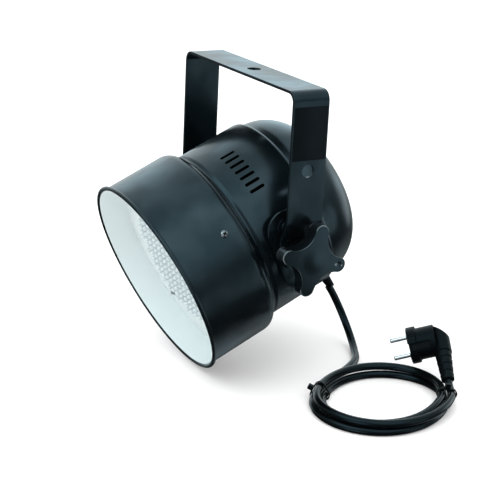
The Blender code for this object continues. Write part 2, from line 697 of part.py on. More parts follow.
def make_knob(name, side):
    """Star knob with its hub and brass insert, on the bolt's axis."""
    turn = empty(f"knob_axis_{name}", Matrix.Rotation(math.radians(KNOB_REST_TURN), 4, "Z"), side)
    lobes_low = KNOB_BASE + KNOB_HUB_LENGTH
    lobes_high = lobes_low + KNOB_LOBE_THICKNESS
    knob = flat_shape(f"knob_{name}", [star_outline()], lobes_low, lobes_high, "black_plastic", turn)
    bevel(knob, KNOB_EDGE, 1)
    hub = [(0.0, KNOB_BASE), (KNOB_HUB_RADIUS - 0.001, KNOB_BASE), (KNOB_HUB_RADIUS, KNOB_BASE + 0.001),
           (KNOB_HUB_RADIUS, lobes_low + KNOB_EDGE), (KNOB_CROWN_RADIUS, lobes_high - KNOB_EDGE),
           (KNOB_CROWN_RADIUS, lobes_high), (KNOB_CROWN_RADIUS * 0.6, lobes_high + KNOB_CROWN_RISE * 0.7),
           (0.0, lobes_high + KNOB_CROWN_RISE)]
    boolean(knob, turned("hub", hub, "black_plastic", turn, steps=20), "UNION")
    bush = BOLT_HOLE + INSERT_WALL
    bore = rod("insert_bore", bush + GAP, KNOB_BASE - 0.001, KNOB_BASE + INSERT_LENGTH + GAP, "brass", turn, steps=16)
    boolean(knob, bore)
    flat_shape(f"knob_insert_{name}", [circle(bush), circle(BOLT_HOLE)], KNOB_BASE, KNOB_BASE + INSERT_LENGTH,
               "brass", turn)


def rounded_path(corners, steps=5):
    """A path through (x, z, bend radius) corners, with an arc in place of each inner corner."""
    points = [Vector(corners[0][:2])]
    for before, here, after in zip(corners, corners[1:], corners[2:]):
        corner = Vector(here[:2])
        back = (Vector(before[:2]) - corner).normalized()
        ahead = (Vector(after[:2]) - corner).normalized()
        half = math.acos(max(-1.0, min(1.0, back.dot(ahead)))) / 2
        start = corner + back * (here[2] / math.tan(half))
        end = corner + ahead * (here[2] / math.tan(half))
        centre = corner + (back + ahead).normalized() * (here[2] / math.sin(half))
        for step in range(steps + 1):
            share = step / steps
            spoke = (start - centre).lerp(end - centre, share).normalized()
            points.append(centre + spoke * here[2])
    points.append(Vector(corners[-1][:2]))
    return points


def make_yoke():
    """Bent steel strap with joggled arms, round ends, hanging hole, one safety hole and pivot holes."""
    half = STRAP_THICKNESS / 2
    top_x = YOKE_HALF_SPAN - half
    low_x = top_x - JOGGLE_DEPTH
    bend = YOKE_BEND_RADIUS - half
    end = -PIVOT_DROP - STRAP_WIDTH / 2
    arm = [(top_x, -half, bend), (top_x, JOGGLE_HIGH - PIVOT_DROP, JOGGLE_BEND_RADIUS),
           (low_x, JOGGLE_LOW - PIVOT_DROP, JOGGLE_BEND_RADIUS), (low_x, end, 0.0)]
    path = rounded_path([(-x, z, r) for x, z, r in arm[::-1]] + arm)
    bm = bmesh.new()
    rows = []
    for point in path:
        rows.append([bm.verts.new((point.x, side * STRAP_WIDTH / 2, point.y)) for side in (-1, 1)])
    for first, second in zip(rows, rows[1:]):
        bm.faces.new((first[0], first[1], second[1], second[0]))
    yoke = from_bmesh(bm, "yoke", "black_powder_coat")
    yoke.data.shade_flat()
    thick = yoke.modifiers.new("sheet", "SOLIDIFY")
    thick.thickness = STRAP_THICKNESS
    thick.offset = 0.0
    thick.use_even_offset = True
    across = Matrix.Rotation(math.radians(90.0), 4, "Y")
    width = STRAP_WIDTH / 2
    outside = 1.3 * width
    round_end = [(outside, 0.0), (width, 0.0)] + arc((0, 0), (width, width), 0, -180, 14)[1:-1] \
        + [(-width, 0.0), (-outside, 0.0), (-outside, -outside), (outside, -outside)]
    reach = YOKE_HALF_SPAN + STRAP_WIDTH
    facing = frame_matrix(Vector((0, 0, -PIVOT_DROP)), Vector((0, 1, 0)), Vector((0, 0, 1)), Vector((1, 0, 0)))
    boolean(yoke, flat_shape("end_trim", [round_end], -reach, reach, "zinc_steel", None, facing))
    boolean(yoke, rod("hang_drill", HANG_HOLE_RADIUS, -0.02, 0.02, "zinc_steel", steps=20))
    for drop, radius, start in ((SAFETY_HOLE_DROP, SAFETY_HOLE_RADIUS, 0.0), (PIVOT_DROP, BOLT_HOLE, -reach)):
        here = Matrix.Translation((0, 0, -drop)) @ across
        boolean(yoke, rod("arm_drill", radius, start, reach, "zinc_steel", None, here, steps=16))


def gland_frame(can):
    """A frame on the dome's underside; local Z points out of the surface."""
    rise = math.asin((GLAND_AXIAL - DOME_START) / DOME_KNUCKLE)
    radius = DOME_RADIUS - DOME_KNUCKLE + DOME_KNUCKLE * math.cos(rise)
    outward = Vector((0, math.cos(rise), math.sin(rise)))
    return empty("gland_axis", along(outward, (0, radius, axial(GLAND_AXIAL)), (1, 0, 0)), can)


def grooved_taper(start, end, low_radius, high_radius):
    """Profile of the plug's boot: a taper with grooves round it, plain at both ends."""
    points = [(0.0, start), (low_radius, start)]
    pitch = (end - start) / (BOOT_GROOVES + 1)
    width = pitch * BOOT_GROOVE_SHARE / 2
    for index in range(1, BOOT_GROOVES + 1):
        groove = start + pitch * index
        radius = low_radius + (high_radius - low_radius) * index / (BOOT_GROOVES + 1)
        floor = radius - BOOT_GROOVE_DEPTH
        points += [(radius, groove - width), (floor, groove - width), (floor, groove + width), (radius, groove + width)]
    return points + [(high_radius, end), (0.0, end)]


def make_gland(can, dome):
    """Gland body with flange, dome nut, inner locknut and the tapered sleeve that the lead leaves."""
    frame = gland_frame(can)
    bore = GLAND_STUB_RADIUS + GAP
    boolean(dome, rod("gland_drill", bore, -0.01, 0.01, "black_plastic", frame, steps=20))
    flange_top = GAP + GLAND_FLANGE_HEIGHT
    stub = [(0.0, -0.010), (GLAND_STUB_RADIUS, -0.010), (GLAND_STUB_RADIUS, GAP), (GLAND_FLANGE_RADIUS, GAP),
            (GLAND_FLANGE_RADIUS, flange_top), (0.0, flange_top)]
    turned("gland_body", stub, "black_plastic", frame, steps=20)
    nut_low = flange_top + GAP
    nut_high = nut_low + GLAND_NUT_HEIGHT
    nut = [(0.0, nut_low), (GLAND_NUT_RADIUS, nut_low), (GLAND_NUT_RADIUS, nut_low + GLAND_NUT_HEIGHT * 0.6),
           (SLEEVE_RADIUS + 0.001, nut_high), (0.0, nut_high)]
    turned("gland_nut", nut, "black_plastic", frame, steps=12)
    sleeve_low = nut_high + GAP
    sleeve_high = sleeve_low + SLEEVE_LENGTH
    sleeve = [(0.0, sleeve_low), (SLEEVE_RADIUS, sleeve_low), (SLEEVE_END_RADIUS, sleeve_high), (0.0, sleeve_high)]
    turned("strain_sleeve", sleeve, "black_rubber", frame, steps=12)
    low = -SHEET - 0.0022 - LOCKNUT_HEIGHT
    ring = [(bore, low), (LOCKNUT_RADIUS, low), (LOCKNUT_RADIUS, low + LOCKNUT_HEIGHT), (bore, low + LOCKNUT_HEIGHT)]
    turned("gland_locknut", ring, "black_plastic", frame, steps=18, closed=True)
    bpy.context.view_layer.update()
    out = frame.matrix_world
    return out @ Vector((0, 0, sleeve_high + 2 * GAP)), out.to_3x3() @ Vector((0, 0, 1))


def make_sockets(can, dome):
    """Data inlet with three pins and data outlet with three holes, side by side on the flat back."""
    back = back_face()
    face = back + GAP + SOCKET_FLANGE_THICKNESS
    width, height = (size / 2 for size in SOCKET_FLANGE)
    flange = [(width, height), (-width, height), (-width, -height), (width, -height)]
    for name, sign in (("data_inlet", -1), ("data_outlet", 1)):
        here = Matrix.Translation((sign * SOCKET_SPACING / 2, 0, 0))
        boolean(dome, rod("socket_drill", SOCKET_BODY_RADIUS + GAP, back - 0.01, back + 0.01, "zinc_steel", can,
                          here, steps=24))
        socket = flat_shape(name, [flange], back + GAP, face, "black_plastic", can, here)
        boolean(socket, rod("socket_body", SOCKET_BODY_RADIUS, face - SOCKET_BODY_DEPTH, face - 0.001,
                            "black_plastic", can, here, steps=24), "UNION")
        inlet = name == "data_inlet"
        if inlet:
            boolean(socket, rod("well", SOCKET_WELL_RADIUS, face - SOCKET_WELL_DEPTH, face + 0.01, "black_plastic",
                                can, here, steps=20))
        top = face - SOCKET_PIN_RECESS if inlet else face + 0.001
        for angle in (90.0, 210.0, 330.0):
            turn = math.radians(angle)
            x = sign * SOCKET_SPACING / 2 + SOCKET_PIN_CIRCLE * math.cos(turn)
            spot = Matrix.Translation((x, SOCKET_PIN_CIRCLE * math.sin(turn), 0))
            pin = rod("pin", SOCKET_PIN_RADIUS, face - SOCKET_WELL_DEPTH - 0.001, top, "zinc_steel", can, spot,
                      steps=8)
            boolean(socket, pin, "UNION" if inlet else "DIFFERENCE")


def bend_between(start, start_way, end, end_way, ease, steps):
    """Points of a smooth bend between two places with their directions of travel."""
    first = start + start_way * ease[0]
    second = end - end_way * ease[1]
    return [Vector(point) for point in geometry.interpolate_bezier(start, first, second, end, steps + 1)]


def coil_axes():
    """Unit vectors of the coil's plan: to its right and away from the lamp's front."""
    right = Vector((*COIL_RIGHT, 0.0)).normalized()
    return right, Vector((-right.y, right.x, 0.0))


def coil_point(turned_by):
    """Centre of the coiled lead after so many degrees from its start."""
    right, away = coil_axes()
    total = COIL_TURNS * 360.0
    layer = (total - 180.0) / 2
    rise = min(1.0, max(0.0, (turned_by - layer) / 180.0))
    inward = min(turned_by, layer) - max(0.0, turned_by - layer - 180.0)
    angle = math.radians(COIL_LEAD_IN + turned_by)
    oval = 1.0 + COIL_OVAL * math.cos(2 * (angle - math.radians(COIL_OVAL_TURN)))
    radius = (COIL_OUTER - COIL_SPIRAL * inward / 360.0) * oval
    height = SURFACE + CORD_RADIUS + COIL_LAYER * rise
    spot = right * math.cos(angle) + away * math.sin(angle)
    return Vector((*COIL_CENTRE, height)) + spot * radius


def coil_direction(turned_by):
    """Direction of travel along the coil."""
    return (coil_point(turned_by + 0.5) - coil_point(turned_by - 0.5)).normalized()


def plug_axes():
    """Cable, side and pin directions of the plug."""
    heading = math.radians(PLUG_HEADING)
    rise = math.radians(PLUG_RISE)
    inward = Vector((math.cos(heading) * math.cos(rise), math.sin(heading) * math.cos(rise), math.sin(rise)))
    cable = -inward
    level = cable.cross((0, 0, 1)).normalized()
    pins = Matrix.Rotation(math.radians(PLUG_ROLL), 3, cable) @ level
    return cable, pins.cross(cable), pins


def coil_route():
    """The coil's loops at a steady rate, then the short rise into the plug's boot."""
    total = COIL_TURNS * 360.0
    count = round(COIL_TURNS * COIL_STEPS)
    points = [coil_point(total * step / count) for step in range(count)]
    place_at = Vector(PLUG_PLACE) + Vector((0, 0, SURFACE))
    return points + bend_between(coil_point(total), coil_direction(total - 0.5), place_at, -plug_axes()[0],
                                 PLUG_EASE, PLUG_BEND_STEPS)


def least_gap(points):
    """Least distance between stretches of the coil that are not neighbours, less its diameter."""
    fine = []
    for a, b in zip(points, points[1:]):
        fine += [a.lerp(b, step / 4) for step in range(4)]
    least = 1.0
    skip = COIL_STEPS * 2
    for index, point in enumerate(fine):
        for other in fine[index + skip:]:
            least = min(least, (other - point).length)
    return least - 2 * CORD_RADIUS


def make_lead(exit_point, exit_direction):
    """Free stretch of the lead from the sleeve to the coil, and the coil."""
    coil = coil_route()
    before = coil_direction(0.5)
    touch = Vector((*LEAD_TOUCH, SURFACE + CORD_RADIUS))
    heading = math.radians(LEAD_TOUCH_HEADING)
    level = Vector((math.cos(heading), math.sin(heading), 0.0))
    points = bend_between(exit_point, exit_direction, touch, level, FALL_EASE, FALL_STEPS)
    points += bend_between(touch, level, coil[0] - before * 2 * GAP, before, RUN_EASE, RUN_STEPS)[1:]
    length = sum((b - a).length for a, b in zip(points, points[1:]))
    tube("cord", points, CORD_RADIUS, "black_rubber", 2)
    tube("coil", coil, CORD_RADIUS, "black_rubber", 1)
    wound = sum((b - a).length for a, b in zip(coil, coil[1:]))
    print(f"lead: free stretch {length:.3f} m, coil {wound:.3f} m, least gap {least_gap(coil) * 1000:.2f} mm")
    return coil


def hull_outline(centres, radius, steps=8):
    """Outline of a band stretched round circles of one radius, in order round the bundle."""
    outline = []
    count = len(centres)
    for index, here in enumerate(centres):
        before = Vector(here) - Vector(centres[index - 1])
        after = Vector(centres[(index + 1) % count]) - Vector(here)
        start = math.atan2(before.y, before.x) - math.pi / 2
        end = math.atan2(after.y, after.x) - math.pi / 2
        while end < start:
            end += 2 * math.pi
        outline += arc(here, (radius, radius), math.degrees(start), math.degrees(end), steps)
    return outline


def strands_at(route, angle):
    """Direction of an angle round the coil, and the strands that cross it as (distance, height) pairs."""
    right, away = coil_axes()
    turn = math.radians(angle)
    spot = right * math.cos(turn) + away * math.sin(turn)
    across = away * math.cos(turn) - right * math.sin(turn)
    centre = Vector((*COIL_CENTRE, SURFACE))
    strands = []
    for a, b in zip(route, route[1:]):
        before = (a - centre).dot(across)
        after = (b - centre).dot(across)
        if before < 0.0 <= after:
            crossing = a.lerp(b, before / (before - after)) - centre
            if crossing.dot(spot) > 0.0:
                strands.append(Vector((crossing.dot(spot), crossing.z)))
    return spot, strands


def make_tie(name, route, angle):
    """Cable tie round the strands at one angle of the coil, with its head on the outer upper side."""
    spot, strands = strands_at(route, angle)
    middle = sum(strands, Vector((0.0, 0.0))) / len(strands)
    strands.sort(key=lambda s: math.atan2(s.y - middle.y, s.x - middle.x))
    inner = CORD_RADIUS + GAP + TIE_ROOM
    matrix = frame_matrix(Vector((*COIL_CENTRE, SURFACE)), spot, Vector((0, 0, 1)), spot.cross((0, 0, 1)))
    low, high = -TIE_WIDTH / 2, TIE_WIDTH / 2
    band = flat_shape(name, [hull_outline(strands, inner + TIE_THICKNESS), hull_outline(strands, inner)], low, high,
                      "black_plastic", None, matrix)
    sides = []
    for here, after in zip(strands, strands[1:] + strands[:1]):
        along_side = after - here
        outward = Vector((along_side.y, -along_side.x)).normalized()
        sides.append((outward.x + outward.y, outward, (here + after) / 2))
    _, outward, seat = max(sides, key=lambda side: side[0])
    spot_2d = seat + outward * (inner + (TIE_THICKNESS + TIE_HEAD[0]) / 2)
    head = box("tie_head", TIE_HEAD, "black_plastic", None)
    head.matrix_local = matrix @ Matrix.Translation((*spot_2d, 0.0)) \
        @ Matrix.Rotation(math.atan2(outward.y, outward.x), 4, "Z")
    boolean(band, head, "UNION")


def make_plug(cord_end):
    """Angled earthed plug: body, ribbed boot, two round pins and two earth clips."""
    cable, side, pins = plug_axes()
    boot_end = BOOT_START + BOOT_LENGTH
    origin = cord_end + pins * PLUG_COLUMN_DEPTH - cable * (boot_end + 2 * GAP)
    frame = empty("plug_axis", frame_matrix(origin, cable, side, pins))
    edge = PLUG_EDGE
    profile = [(0.0, 0.0), (PLUG_RADIUS - edge, 0.0), (PLUG_RADIUS, -edge), (PLUG_RADIUS, -PLUG_RIM_DEPTH),
               (PLUG_WAIST_RADIUS, -PLUG_RIM_DEPTH - edge), (PLUG_WAIST_RADIUS, -PLUG_BASE_DEPTH), (0.0, -PLUG_BASE_DEPTH)]
    body = turned("plug_body", profile, "black_plastic", frame, steps=28)
    column_axis = frame_matrix(Vector((0, 0, -PLUG_COLUMN_DEPTH)), Vector((0, 1, 0)), Vector((0, 0, 1)),
                               Vector((1, 0, 0)))
    top = PLUG_COLUMN_EDGE - PLUG_COLUMN_TOP
    column = [(0.0, -PLUG_COLUMN_TOP), (PLUG_COLUMN_RADIUS - PLUG_COLUMN_EDGE, -PLUG_COLUMN_TOP),
              (PLUG_COLUMN_RADIUS, top), (PLUG_COLUMN_RADIUS, BOOT_START), (0.0, BOOT_START)]
    boolean(body, turned("column", column, "black_plastic", frame, column_axis, steps=18), "UNION")
    slope = box("slope", (PLUG_RADIUS, 2 * PLUG_RADIUS, 4 * PLUG_RADIUS), "black_plastic", frame)
    slope.matrix_local = Matrix.Translation((-PLUG_COLUMN_TOP, 0, -PLUG_SLOPE_DEPTH)) \
        @ Matrix.Rotation(math.radians(180.0 - PLUG_SLOPE), 4, "Y") @ Matrix.Translation((PLUG_RADIUS / 2, 0, 0))
    boolean(body, slope)
    boot = grooved_taper(BOOT_START + GAP, boot_end, BOOT_RADIUS, BOOT_END_RADIUS)
    turned("plug_boot", boot, "black_rubber", frame, column_axis, steps=12)
    diagonal = math.sqrt(0.5)
    for index, sign in enumerate((1, -1), start=1):
        spread = sign * PIN_SPACING / 2 * diagonal
        here = Matrix.Translation((spread, -spread, 0))
        boolean(body, rod("pin_drill", PIN_RADIUS + GAP, -PIN_ROOT - GAP, 0.01, "black_plastic", frame, here,
                          steps=12))
        tip = PIN_LENGTH
        pin = [(0.0, -PIN_ROOT), (PIN_RADIUS, -PIN_ROOT), (PIN_RADIUS, tip - 0.002), (PIN_RADIUS * 0.6, tip - 0.0004),
               (0.0, tip)]
        turned(f"plug_pin_{index}", pin, "zinc_steel", frame, here, steps=12)
        make_earth_clip(body, frame, index, sign * diagonal)


def make_earth_clip(body, frame, index, share):
    """A notch in the plug's side with the sprung earth strip that lies in it."""
    outward = Vector((share, share, 0))
    depth, width, length = EARTH_NOTCH
    notch_floor = PLUG_RADIUS - depth
    axes = frame_matrix(Vector((0, 0, 0)), outward, Vector((0, 0, 1)).cross(outward), Vector((0, 0, 1)))
    notch = box("notch", (2 * depth, width, 2 * length), "zinc_steel", frame)
    notch.matrix_local = axes @ Matrix.Translation((notch_floor + depth, 0, 0))
    boolean(body, notch)
    thick, strip, reach = EARTH_CLIP
    clip = box(f"earth_clip_{index}", (thick, strip, reach), "brass", frame)
    clip.matrix_local = axes @ Matrix.Translation((notch_floor + GAP + thick / 2, 0, -length + GAP + reach / 2))


def even_normals():
    """Weight the normals of cut and joined pieces, so that flat faces beside an edge stay flat."""
    for thing in parts.objects:
        if any(modifier.type == "BOOLEAN" for modifier in thing.modifiers):
            thing.modifiers.new("normals", "WEIGHTED_NORMAL").keep_sharp = True


def build():
    """Model the lamp from its yoke to its plug."""
    clear_scene()
    make_materials()
    make_yoke()
    tilt = Matrix.Translation((0, 0, -PIVOT_DROP)) @ Matrix.Rotation(math.radians(REST_TILT - 90.0), 4, "X")
    can = empty("tilt_axis", tilt)
    collar, barrel, dome = make_shells(can)
    make_light_engine(can)
    make_side("right", 1, can, barrel)
    make_side("left", -1, can, barrel)
    make_sockets(can, dome)
    exit_point, exit_direction = make_gland(can, dome)
    coil = make_lead(exit_point, exit_direction)
    for index, angle in enumerate(TIE_ANGLES, start=1):
        make_tie(f"tie_{index}", coil, angle)
    make_plug(coil[-1])
    even_normals()


build()
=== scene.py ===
"""Looks of the short LED par can: shells, light engine, yoke, knobs, sockets, coiled lead and angled plug.

World frame in metres: the tilt axis runs along X, +Y is the back of the lamp and +Z is up.
The origin is the centre of the hanging hole, on the top face of the yoke.
"""
import json
import logging
import math
from dataclasses import dataclass
from enum import Enum
from typing import Any, Callable, Iterable, Sequence

import bmesh
import bpy
import numpy as np
from mathutils import Matrix, Vector, geometry

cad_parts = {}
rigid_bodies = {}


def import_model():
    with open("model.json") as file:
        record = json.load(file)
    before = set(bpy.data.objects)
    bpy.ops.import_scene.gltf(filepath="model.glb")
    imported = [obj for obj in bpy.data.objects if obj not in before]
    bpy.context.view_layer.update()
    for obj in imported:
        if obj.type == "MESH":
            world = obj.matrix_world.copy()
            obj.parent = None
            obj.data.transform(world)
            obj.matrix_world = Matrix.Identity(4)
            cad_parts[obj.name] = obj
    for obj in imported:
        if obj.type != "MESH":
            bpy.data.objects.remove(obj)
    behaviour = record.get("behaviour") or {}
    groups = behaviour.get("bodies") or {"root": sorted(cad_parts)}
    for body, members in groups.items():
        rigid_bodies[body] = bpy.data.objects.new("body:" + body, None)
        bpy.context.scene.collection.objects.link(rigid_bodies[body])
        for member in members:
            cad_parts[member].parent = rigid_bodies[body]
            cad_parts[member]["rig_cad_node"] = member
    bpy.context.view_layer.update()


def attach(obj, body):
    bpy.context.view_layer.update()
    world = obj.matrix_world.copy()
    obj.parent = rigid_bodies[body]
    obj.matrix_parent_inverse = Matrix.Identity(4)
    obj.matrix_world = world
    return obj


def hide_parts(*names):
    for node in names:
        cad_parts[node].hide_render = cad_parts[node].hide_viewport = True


LOG = logging.getLogger("par_can")

Pair = tuple[float, float]
Triple = tuple[float, float, float]
Point = tuple[float, float, float]
Stops = tuple[Pair, ...]


# ---------------------------------------------------------------- shader arithmetic


class Value:
    """A node's output that takes part in arithmetic; each operator adds one Math node."""

    def __init__(self, graph: "Graph", socket: bpy.types.NodeSocket) -> None:
        self.graph = graph
        self.socket = socket

    def _join(self, operation: str, first: Any, second: Any) -> "Value":
        """Add the Math node of one operator, whose operands are numbers or Values."""
        return self.graph.node("ShaderNodeMath", {"operation": operation}, {0: first, 1: second})

    def __add__(self, other: Any) -> "Value":
        """Sum."""
        return self._join("ADD", self, other)

    def __sub__(self, other: Any) -> "Value":
        """Difference."""
        return self._join("SUBTRACT", self, other)

    def __rsub__(self, other: Any) -> "Value":
        """Difference from a number, such as 1 - mask."""
        return self._join("SUBTRACT", other, self)

    def __mul__(self, other: Any) -> "Value":
        """Product."""
        return self._join("MULTIPLY", self, other)

    __radd__ = __add__
    __rmul__ = __mul__


class Graph:
    """The node tree of one material."""

    def __init__(self, name: str) -> None:
        self.material = bpy.data.materials.new(name)
        self.material.use_nodes = True
        self.tree = self.material.node_tree
        self.shader = self.tree.nodes["Principled BSDF"]
        self.place = self.node("ShaderNodeTexCoord", output="Object")

    def node(self, kind: str, settings: dict[str, Any] | None = None, inputs: dict[Any, Any] | None = None,
             output: Any = 0) -> Value:
        """Add any node, set it up and feed its sockets.

        Args:
            kind: Type name of the node.
            settings: Properties to set first; "stops" holds a ramp's stops.
            inputs: Values, numbers or colours by socket name or index.
            output: Name or index of the output that is returned.

        Returns:
            The chosen output.
        """
        made = self.tree.nodes.new(kind)
        for key, value in (settings or {}).items():
            if key == "stops":
                ramp = made.color_ramp.elements
                while len(ramp) < len(value):
                    ramp.new(1.0)
                for element, (position, level) in zip(ramp, value):
                    element.position = position
                    element.color = (level, level, level, 1.0)
            else:
                setattr(made, key, value)
        for key, value in (inputs or {}).items():
            self.feed(made.inputs[key], value)
        return Value(self, made.outputs[output])

    def feed(self, socket: bpy.types.NodeSocket, value: Any) -> None:
        """Link a Value to a socket, or set a number or colour on it."""
        if isinstance(value, Value):
            self.tree.links.new(value.socket, socket)
        else:
            socket.default_value = value

    def noise(self, scale: float, detail: float = 2.0, stretch: Point = (1.0, 1.0, 1.0)) -> Value:
        """Smooth noise over the piece.

        Args:
            scale: Features a metre.
            detail: Number of finer layers.
            stretch: Share of that scale along each axis.

        Returns:
            The noise, from 0 to 1.
        """
        place = self.place
        if stretch != (1.0, 1.0, 1.0):
            place = self.node("ShaderNodeVectorMath", {"operation": "MULTIPLY"}, {0: place, 1: stretch})
        return self.node("ShaderNodeTexNoise", {}, {"Vector": place, "Scale": scale, "Detail": detail})

    def ramp(self, factor: Value, *stops: Pair) -> Value:
        """A factor reshaped by (position, level) stops."""
        return self.node("ShaderNodeValToRGB", {"stops": stops}, {"Fac": factor})

    def blend(self, factor: Value, low: Any, high: Any) -> Value:
        """A colour between two colours or colour Values, by a factor."""
        low, high = (end if isinstance(end, Value) else (*end, 1.0) for end in (low, high))
        return self.node("ShaderNodeMix", {"data_type": "RGBA"}, {0: factor, 6: low, 7: high}, 2)

    def painted_edge_highlight(self, colour: Value, light: float) -> Value:
        """A colour that turns lighter where the surface has an outward edge: a painted highlight for the
        light that rounded edges catch.

        Args:
            colour: The plain colour.
            light: Lightness of the painted edge highlight; 0 leaves the colour plain.

        Returns:
            The colour with its painted edge highlights.
        """
        if not light:
            return colour
        edge = self.ramp(self.node("ShaderNodeNewGeometry", output="Pointiness"), *EDGE_HIGHLIGHT_STOPS)
        return self.blend(edge, colour, tuple(light * share for share in EDGE_HIGHLIGHT_TINT))

    def bump(self, height: Value, distance: float) -> None:
        """Feed a Bump node, whose depth is in metres, to the shader's normal."""
        self.feed(self.shader.inputs["Normal"],
                  self.node("ShaderNodeBump", {}, {"Height": height, "Distance": distance}))

    def shade(self, **inputs: Any) -> bpy.types.Material:
        """Set or feed the shader's sockets, by names with underscores for spaces."""
        for name, value in inputs.items():
            self.feed(self.shader.inputs[name.replace("_", " ").title().replace("Ior", "IOR")], value)
        return self.material


class Sky(Graph):
    """The node tree of the world; its place is the direction of view."""

    def __init__(self, name: str) -> None:
        self.world = bpy.data.worlds.new(name)
        self.world.use_nodes = True
        self.tree = self.world.node_tree
        self.shader = self.tree.nodes["Background"]
        self.place = self.node("ShaderNodeTexCoord", output="Generated")

    def light(self, colour: Point, strength: Value) -> None:
        """Set the world's light, and use the world in the scene.

        Args:
            colour: Its colour.
            strength: Its strength in each direction.
        """
        self.feed(self.shader.inputs["Color"], (*colour, 1.0))
        self.feed(self.shader.inputs["Strength"], strength)
        bpy.context.scene.world = self.world


# ---------------------------------------------------------------- finishes

COLD = (0.50, 0.84, 1.0)  # tint of the highlights on the black surfaces
EDGE_HIGHLIGHT_TINT = (0.82, 0.96, 1.0)  # tint of the painted highlight on outward edges
EDGE_HIGHLIGHT_STOPS = ((0.526, 0.0), (0.545, 1.0))  # pointiness of a flat face and of an edge with the full painted highlight


@dataclass(frozen=True)
class Finish:
    """A finish whose colour and gloss wander in soft patches, with a fine grain in relief."""

    name: str
    slot: str
    low: Point
    high: Point
    roughness: Pair = (0.4, 0.5)
    metallic: float = 0.0
    patches: float = 35.0
    grain: float = 1400.0
    depth: float = 0.00002
    specular: float = 0.5
    stretch: Point = (1.0, 1.0, 1.0)
    # lightness of the painted highlight on outward edges; 0 for none
    edge_highlight: float = 0.0
    tint: Point = (1.0, 1.0, 1.0)

    def rough(self, share: Value) -> Value:
        """Roughness between the finish's smoothest and roughest, by a share."""
        least, most = self.roughness
        return least + share * (most - least)

    def material(self) -> bpy.types.Material:
        """Build the finish's material.

        Returns:
            The material.
        """
        graph = Graph(self.name)
        patch = graph.noise(self.patches, 3.0)
        gloss = graph.noise(self.patches * 2.5, 2.0, self.stretch)
        graph.bump(graph.noise(self.grain, 1.5, self.stretch), self.depth)
        # outward edges get a painted highlight, lighter than the finish's own colour
        colour = graph.painted_edge_highlight(graph.blend(patch, self.low, self.high), self.edge_highlight)
        return graph.shade(base_color=colour, metallic=self.metallic, roughness=self.rough(gloss),
                           specular_ior_level=self.specular, specular_tint=(*self.tint, 1.0))


@dataclass(frozen=True)
class LitPaper(Finish):
    """Studio paper lit a little from beneath too, which keeps the shadows on it faint."""

    shine: float = 0.12

    def material(self) -> bpy.types.Material:
        """Build the paper's material.

        Returns:
            The material.
        """
        made = super().material()
        sockets = made.node_tree.nodes["Principled BSDF"].inputs
        sockets["Emission Color"].default_value = (*self.high, 1.0)
        sockets["Emission Strength"].default_value = self.shine
        return made


@dataclass(frozen=True)
class PowderCoat(Finish):
    """Satin powder coat on wavy sheet: orange peel, fine specks and a rubbed, glossier film in places."""

    peel: float = 420.0
    peel_share: float = 0.6
    specks: float = 2600.0
    speck_stops: Stops = ((0.60, 0.0), (0.72, 1.0))
    speck_share: float = 0.35
    speck_light: float = 2.2
    rubbed_stops: Stops = ((0.52, 0.0), (0.75, 1.0))
    rubbed_gloss: float = 0.04
    waves: Pair = (30.0, 0.0007)  # waves a metre, and their depth
    clouds: float = 20.0
    cloud_stops: Stops = ((0.40, 0.0), (0.64, 1.0))
    film: float = 0.5

    def material(self) -> bpy.types.Material:
        """Build the coat's material.

        Returns:
            The material.
        """
        graph = Graph(self.name)
        peel = graph.noise(self.peel, 2.0)
        grain = graph.noise(self.grain, 1.0)
        speck = graph.ramp(graph.noise(self.specks, 1.0), *self.speck_stops)
        patch = graph.noise(self.patches, 3.0)
        rubbed = graph.ramp(graph.noise(self.patches * 0.4, 4.0), *self.rubbed_stops)
        relief = (peel * self.peel_share + grain * (1.0 - self.peel_share)) * self.depth
        graph.bump(graph.noise(self.waves[0], 1.0) * self.waves[1] + relief, 1.0)
        bright = tuple(level * self.speck_light for level in self.high)
        colour = graph.blend(speck * self.speck_share, graph.blend(patch, self.low, self.high), bright)
        cloud = graph.ramp(graph.noise(self.clouds, 2.5), *self.cloud_stops)
        tint = (*self.tint, 1.0)
        return graph.shade(base_color=colour, metallic=self.metallic, specular_ior_level=self.specular,
                           roughness=self.rough(patch) - rubbed * self.rubbed_gloss, specular_tint=tint,
                           coat_weight=cloud * self.film, coat_roughness=self.roughness[0], coat_tint=tint)


@dataclass(frozen=True)
class CircuitBoard(Finish):
    """Green board: solder mask over the copper tracks of a woven base."""

    cells: float = 60.0
    track: Pair = (0.05, 0.1)  # width and softness of a track
    weave: Pair = (0.37, 1.6)  # offset and squash of the rows

    def material(self) -> bpy.types.Material:
        """Build the board's material.

        Returns:
            The material.
        """
        graph = Graph(self.name)
        settings = dict(zip(("offset", "squash"), self.weave))
        inputs = {"Vector": graph.place, "Scale": self.cells, "Mortar Size": self.track[0],
                  "Mortar Smooth": self.track[1]}
        cells = graph.node("ShaderNodeTexBrick", settings, inputs, "Fac")
        graph.bump(cells, self.depth)
        return graph.shade(base_color=graph.blend(cells, self.low, self.high), metallic=0.0,
                           roughness=self.rough(graph.noise(self.patches)))


